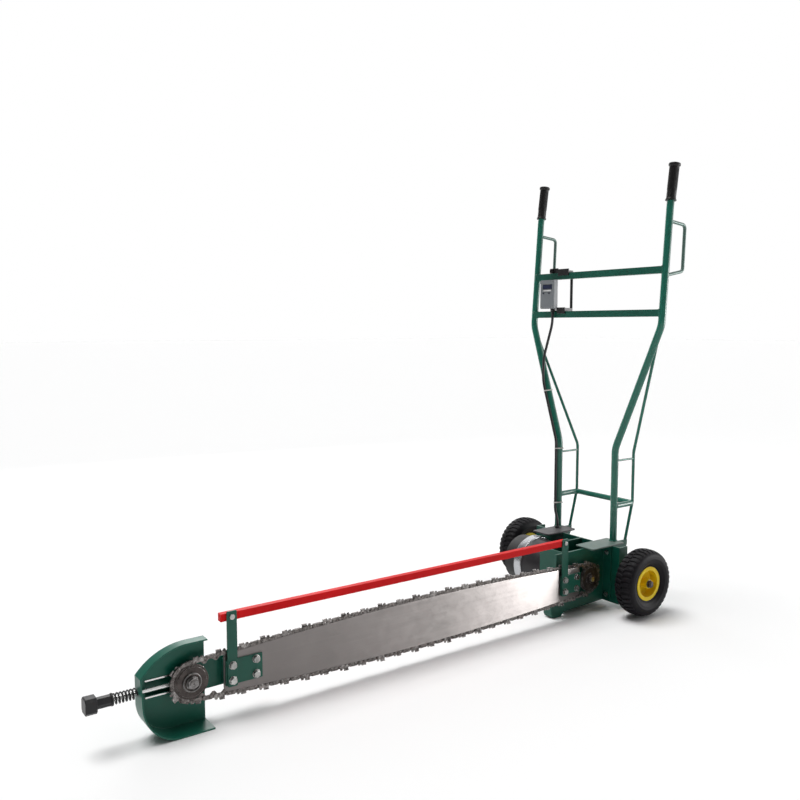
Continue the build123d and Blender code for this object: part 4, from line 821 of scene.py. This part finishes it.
weldLook = {"radius": 0.0024, "ripple": 0.0048, "swell": 0.82, "endShare": 0.5, "around": 8, "proud": 0.0004}
frameLook = {"tubeR": 0.014, "barHalf": 0.0135, "lean": 0.0727, "hoopHalf": 0.0065, "hoopR": 0.0055,
             "feetX": 0.149, "feetBack": 0.030, "stayR": 0.011, "footGap": 0.0008, "footLift": 0.0012}
baseLook = {"gussetX": 0.149, "gussetOut": 0.0034, "gussetBack": -0.015, "gussetFoot": 0.066,
            "gussetTop": 0.004, "wallX": 0.1414, "wallBack": -0.2445, "wallFoot": 0.099, "wallTop": 0.003}
tubeR = frameLook["tubeR"]


def beadAlong(points, closed, verts, faces):
    # rippled bead along a line of points
    count = len(points)
    around = weldLook["around"]
    base = len(verts)
    travelled = 0
    for i, here in enumerate(points):
        ahead = points[(i + 1) % count] if closed or i < count - 1 else here
        behind = points[i - 1] if closed or i > 0 else here
        u, v = squareTo(ahead - behind)[1:]
        if i:
            travelled += (here - points[i - 1]).length
        ripple = abs(math.sin(math.pi * travelled / weldLook["ripple"]))
        swell = weldLook["swell"] + (1 - weldLook["swell"]) * ripple
        atEnd = not closed and i in (0, count - 1)
        r = weldLook["radius"] * swell * (weldLook["endShare"] if atEnd else 1)
        for j in range(around):
            a = 2 * math.pi * j / around
            verts.append(here + (u * math.cos(a) + v * math.sin(a)) * r)
    rows = ringFaces(count, around, False)
    faces.extend(tuple(base + k for k in face) for face in rows)
    if closed:
        twistedClose(verts, faces, base, base + (count - 1) * around, around)
    else:
        faces.append(tuple(base + j for j in range(around)))
        faces.append(tuple(base + count * around - 1 - j for j in range(around)))


def twistedClose(verts, faces, first, last, around):
    # joins the last ring to the first at the turn that matches best
    best = min(range(around), key=lambda d: sum(
        (verts[first + (j + d) % around] - verts[last + j]).length for j in range(around)))
    for j in range(around):
        k = (j + 1) % around
        faces.append((last + j, last + k, first + (k + best) % around, first + (j + best) % around))


def saddle(centre, direction, along, rodR, points=56):
    # line where a rod that leaves a tube meets it
    d = Vector(direction).normalized()
    t = Vector(along).normalized()
    b = d.cross(t).normalized()
    t = b.cross(d)
    out = []
    for i in range(points):
        a = 2 * math.pi * i / points
        off = rodR * math.sin(a)
        reach = math.sqrt(max(0.0, tubeR ** 2 - off ** 2))
        out.append(Vector(centre) + d * (reach + weldLook["proud"]) + t * rodR * math.cos(a) + b * off)
    return out


def boxSaddle(centre, sign, half, steps=10):
    # line where a square bar along X meets an upright tube
    corners = [(-half, -half), (half, -half), (half, half), (-half, half)]
    out = []
    for n in range(4):
        y0, z0 = corners[n]
        y1, z1 = corners[(n + 1) % 4]
        for i in range(steps):
            t = i / steps
            y, z = y0 + (y1 - y0) * t, z0 + (z1 - z0) * t
            reach = math.sqrt(max(0.0, tubeR ** 2 - y * y))
            out.append(Vector((centre.x + sign * reach, centre.y + y, centre.z + z)))
    return out


def barWelds(verts, faces, upperX, barLow, barHigh):
    # round each end of the two crossbars
    half = frameLook["barHalf"]
    for z, y in ((barLow.z + half, barLow.y + half), (barHigh.z - half, barHigh.y - half)):
        for sign in (-1, 1):
            beadAlong(boxSaddle(Vector((sign * upperX, y, z)), -sign, half), True, verts, faces)


def hoopWelds(verts, faces, upperX, barLow):
    # round the ends of the hand hoops, on tubes that lean back
    half = frameLook["barHalf"]
    lean = frameLook["lean"]
    hoopLow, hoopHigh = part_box("hand_hoops")
    for z in (hoopLow.z + frameLook["hoopHalf"], hoopHigh.z - frameLook["hoopHalf"]):
        y = barLow.y + half + lean * (z - barLow.z - half)
        for sign in (-1, 1):
            line = saddle((sign * upperX, y, z), (0, 1, 0), (0, lean, 1), frameLook["hoopR"])
            beadAlong(line, True, verts, faces)


def feetWelds(verts, faces):
    # where the lower stay meets the tubes, and round the tubes' feet
    stayLow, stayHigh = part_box("lower_stay")
    stayZ = (stayLow.z + stayHigh.z) / 2
    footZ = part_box("main_tubes")[0].z + frameLook["footLift"]
    y = axleY + frameLook["feetBack"]
    r = tubeR + frameLook["footGap"]
    for sign in (-1, 1):
        x = sign * frameLook["feetX"]
        beadAlong(saddle((x, y, stayZ), (0, 1, 0), (0, 0, 1), frameLook["stayR"]), True, verts, faces)
        turns = [2 * math.pi * i / 60 for i in range(60)]
        foot = [Vector((x + r * math.cos(a), y + r * math.sin(a), footZ)) for a in turns]
        beadAlong(foot, True, verts, faces)


def frameWelds():
    verts, faces = [], []
    barLow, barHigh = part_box("crossbars")
    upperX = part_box("main_tubes")[1].x - tubeR
    barWelds(verts, faces, upperX, barLow, barHigh)
    hoopWelds(verts, faces, upperX, barLow)
    feetWelds(verts, faces)
    return verts, faces


def uprightLine(x, y, foot, top, steps):
    return [Vector((x, y, foot + (top - foot) * i / steps)) for i in range(steps + 1)]


def plateWelds():
    # fillet welds along the base plates' inside corners
    verts, faces = [], []
    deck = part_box("sprocket_cover")[0].z
    y = axleY + baseLook["gussetBack"]
    for sign in (-1, 1):
        for face in (-1, 1):
            x = sign * baseLook["gussetX"] + face * baseLook["gussetOut"]
            line = uprightLine(x, y, baseLook["gussetFoot"], deck - baseLook["gussetTop"], 60)
            beadAlong(line, False, verts, faces)
    line = uprightLine(baseLook["wallX"], axleY + baseLook["wallBack"], baseLook["wallFoot"],
                       deck - baseLook["wallTop"], 50)
    beadAlong(line, False, verts, faces)
    return verts, faces


welds = frameWelds()
addPiece("frameWelds", *welds, "tubeGreen", "frame", "green_paint", 60)
welds = plateWelds()
# the plate welds take the darker green with its painted shade
addPiece("plateWelds", *welds, "plateGreen", "frame", "green_paint", 60)
print("welds made")


# control box front and cable fittings

panelLook = {
    "lift": 0.0007, "strip": (0.044, 0.0052), "stripDrop": 0.0075, "stripCorner": 0.001,
    "dots": 3, "dot": 0.0019, "dotDrop": 0.0062, "dotTaper": 0.8,
    "rim": 0.0016, "rimOut": 0.0012, "rimCorner": 0.0005,
    "screw": 0.0032, "screwInset": 0.008, "screwTaper": 0.75, "screwRise": 1.7,
    "recess": (0.0012, 0.0010), "recessFloor": 0.9,
    "draftFrom": 0.3, "draft": 0.992,
}
centreHole = 0.0001  # turned pieces leave a hole this small on their axis


def roundedSlab(cx, cz, width, tall, y0, y1, corner, steps=5):
    # a thin plate that faces the front, with round corners and a slight draft at its face
    outline = []
    for n, (sx, sz) in enumerate(((1, 1), (-1, 1), (-1, -1), (1, -1))):
        ox, oz = cx + sx * (width / 2 - corner), cz + sz * (tall / 2 - corner)
        for i in range(steps + 1):
            a = math.pi / 2 * (n + i / steps)
            outline.append((ox + corner * math.cos(a), oz + corner * math.sin(a)))
    count = len(outline)
    lift = (y1 - y0) * panelLook["draftFrom"]
    rings = [(y0, 1.0), (y1 - lift, 1.0), (y1, panelLook["draft"])]
    verts = [(cx + (x - cx) * k, y, cz + (z - cz) * k) for y, k in rings for x, z in outline]
    faces = ringFaces(len(rings), count)
    faces.append(tuple(range(count)))
    faces.append(tuple(len(verts) - 1 - j for j in range(count)))
    return verts, faces


def joinMeshes(parts):
    verts, faces = [], []
    for more, rows in parts:
        base = len(verts)
        verts.extend(Vector(v) for v in more)
        faces.extend(tuple(base + k for k in row) for row in rows)
    return verts, faces


def panelDots(cx, stripZ, face):
    lift = panelLook["lift"]
    r = panelLook["dot"]
    outline = [(0, centreHole), (0, r), (lift, r * panelLook["dotTaper"]), (lift, centreHole)]
    dots = []
    for i in range(panelLook["dots"]):
        x = cx + (i - 2) * panelLook["strip"][0] / 5  # the dots stand left of the middle
        dots.append(turned(outline, (x, face, stripZ - panelLook["dotDrop"]), (0, -1, 0), 16))
    return dots


def displayRim(cx, cz, wide, tall, face):
    # four strips round the display, the long ones covering the corners
    rim, out = panelLook["rim"], panelLook["rimOut"]
    strips = []
    for sign in (1, -1):
        strips.append((0, sign * (tall / 2 + out), wide + 3 * rim, rim))
    for sign in (1, -1):
        strips.append((sign * (wide / 2 + out), 0, rim, tall + 2 * rim))
    return [roundedSlab(cx + dx, cz + dz, w, t, face, face - panelLook["lift"], panelLook["rimCorner"], 3)
            for dx, dz, w, t in strips]


def lidScrews(low, high):
    lift = panelLook["lift"]
    r = panelLook["screw"]
    head = lift * panelLook["screwRise"]
    floorAt = lift * panelLook["recessFloor"]
    mouth, floor = panelLook["recess"]
    outline = [(0, centreHole), (0, r), (lift, r), (head, r * panelLook["screwTaper"]), (head, mouth),
               (floorAt, floor), (floorAt, centreHole)]
    inset = panelLook["screwInset"]
    return [turned(outline, (x, low.y, z), (0, -1, 0), 20)
            for x in (low.x + inset, high.x - inset) for z in (low.z + inset, high.z - inset)]


def makePanel():
    low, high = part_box("box_lid")
    showLow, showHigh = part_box("display_window")
    face = low.y
    cx, cz = (showLow.x + showHigh.x) / 2, (showLow.z + showHigh.z) / 2
    stripZ = showLow.z - panelLook["stripDrop"]
    front = face - panelLook["lift"]
    strip = roundedSlab(cx, stripZ, *panelLook["strip"], face, front, panelLook["stripCorner"])
    addPiece("panelStrip", *strip, "stripWhite", "frame", "box_grey")
    marks = panelDots(cx, stripZ, face)
    marks += displayRim(cx, cz, showHigh.x - showLow.x, showHigh.z - showLow.z, face)
    addPiece("panelDots", *joinMeshes(marks), "blackPlastic", "frame", "black_plastic")
    addPiece("lidScrews", *joinMeshes(lidScrews(low, high)), "zincSteel", "frame", "steel")


makePanel()


# a gland's outline is (along, radius) from its seat, in which the cable's way is "bore"
glandLook = {
    "bore": 0.0057, "ribs": 18, "ribFrom": 0.0062, "ribTo": 0.0098, "ribDepth": 0.0003, "around": 72,
    "outline": [(0.0, 0.0098), (0.0052, 0.0100), (0.0056, 0.0092), (0.0062, 0.0092), (0.0068, 0.0098),
                (0.0085, 0.0094), (0.0096, 0.0084), (0.0100, 0.0070)],
    "boxInset": 0.016, "boxAhead": 0.0015, "deckX": -0.128, "deckBack": 0.004,
}
tieHeights = (0.3, 0.9)


def glandRibs(along, angle):
    if glandLook["ribFrom"] < along < glandLook["ribTo"]:
        return glandLook["ribDepth"] * math.cos(glandLook["ribs"] * angle)
    return 0.0


def makeGland(base, way):
    bore = glandLook["bore"]
    outline = [(0.0, bore), *glandLook["outline"], (glandLook["outline"][-1][0], bore)]
    return turned(outline, base, (0, 0, way), glandLook["around"], glandRibs)


def makeGlands():
    # one hangs under the control box, one stands on the motor cover
    boxLow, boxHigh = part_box("box_body")
    boxY = (boxLow.y + boxHigh.y) / 2 - glandLook["boxAhead"]
    upper = Vector((boxHigh.x - glandLook["boxInset"], boxY, boxLow.z))
    foot = Vector((glandLook["deckX"], axleY + glandLook["deckBack"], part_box("motor_cover")[1].z))
    return joinMeshes([makeGland(upper, -1), makeGland(foot, 1)])


def splitSolids(node):
    # a node's separate solids as (vertices, faces), welded
    work = bmesh.new()
    work.from_mesh(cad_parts[node].data)
    bmesh.ops.remove_doubles(work, verts=work.verts, dist=weldGap)
    seen = set()
    solids = []
    for seed in work.verts:
        if seed in seen:
            continue
        group = {seed}
        queue = [seed]
        while queue:
            for edge in queue.pop().link_edges:
                for vert in edge.verts:
                    if vert not in group:
                        group.add(vert)
                        queue.append(vert)
        seen |= group
        order = {vert: i for i, vert in enumerate(sorted(group, key=lambda v: v.index))}
        rows = [tuple(order[v] for v in f.verts) for f in work.faces if f.verts[0] in group]
        solids.append(([v.co.copy() for v in order], rows))
    work.free()
    return solids


ties = [solid for solid in splitSolids("cable_fittings") if tieHeights[0] < solid[0][0].z < tieHeights[1]]
glands = addPiece("cableGlands", *makeGlands(), "blackPlastic", "frame", "black_plastic")
tieBands = addPiece("cableTies", *joinMeshes(ties), "tieWhite", "frame", "black_plastic")
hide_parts("cable_fittings")
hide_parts("cable_fittings")
print("control box and cable fittings made")


# motor cowl grille

grilleLook = {"rings": 3, "innerR": 0.0085, "ringStep": 0.009, "wire": 0.0011, "spokes": 4,
              "spokeReach": 0.0305, "inset": 0.0016}


def ringTube(centre, axis, radius, wire, count=64, around=8):
    axis, u, v = squareTo(axis)
    verts = []
    for i in range(count):
        a = 2 * math.pi * i / count
        out = u * math.cos(a) + v * math.sin(a)
        for j in range(around):
            b = 2 * math.pi * j / around
            verts.append(Vector(centre) + out * (radius + wire * math.cos(b)) + axis * wire * math.sin(b))
    return verts, ringFaces(count, around, True)


def straightRod(start, end, r, around=10):
    u, v = squareTo(Vector(end) - Vector(start))[1:]
    verts = []
    for place, share in ((start, 0.6), (start, 1.0), (end, 1.0), (end, 0.6)):
        for j in range(around):
            a = 2 * math.pi * j / around
            verts.append(Vector(place) + (u * math.cos(a) + v * math.sin(a)) * r * share)
    faces = ringFaces(4, around)
    faces.append(tuple(range(around)))
    faces.append(tuple(len(verts) - 1 - j for j in range(around)))
    return verts, faces


def makeGrille():
    low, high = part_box("fan_cowl")
    centre = Vector((low.x + grilleLook["inset"], (low.y + high.y) / 2, (low.z + high.z) / 2))
    wire = grilleLook["wire"]
    parts = []
    for i in range(grilleLook["rings"]):
        parts.append(ringTube(centre, (1, 0, 0), grilleLook["innerR"] + grilleLook["ringStep"] * i, wire))
    for i in range(grilleLook["spokes"]):
        a = math.pi * i / grilleLook["spokes"]
        arm = Vector((0, math.cos(a), math.sin(a))) * grilleLook["spokeReach"]
        parts.append(straightRod(centre - arm, centre + arm, wire))
    addPiece("cowlGrille", *joinMeshes(parts), "blackSteel", "frame", "black_plastic", 60)


makeGrille()
print("motor grille made")
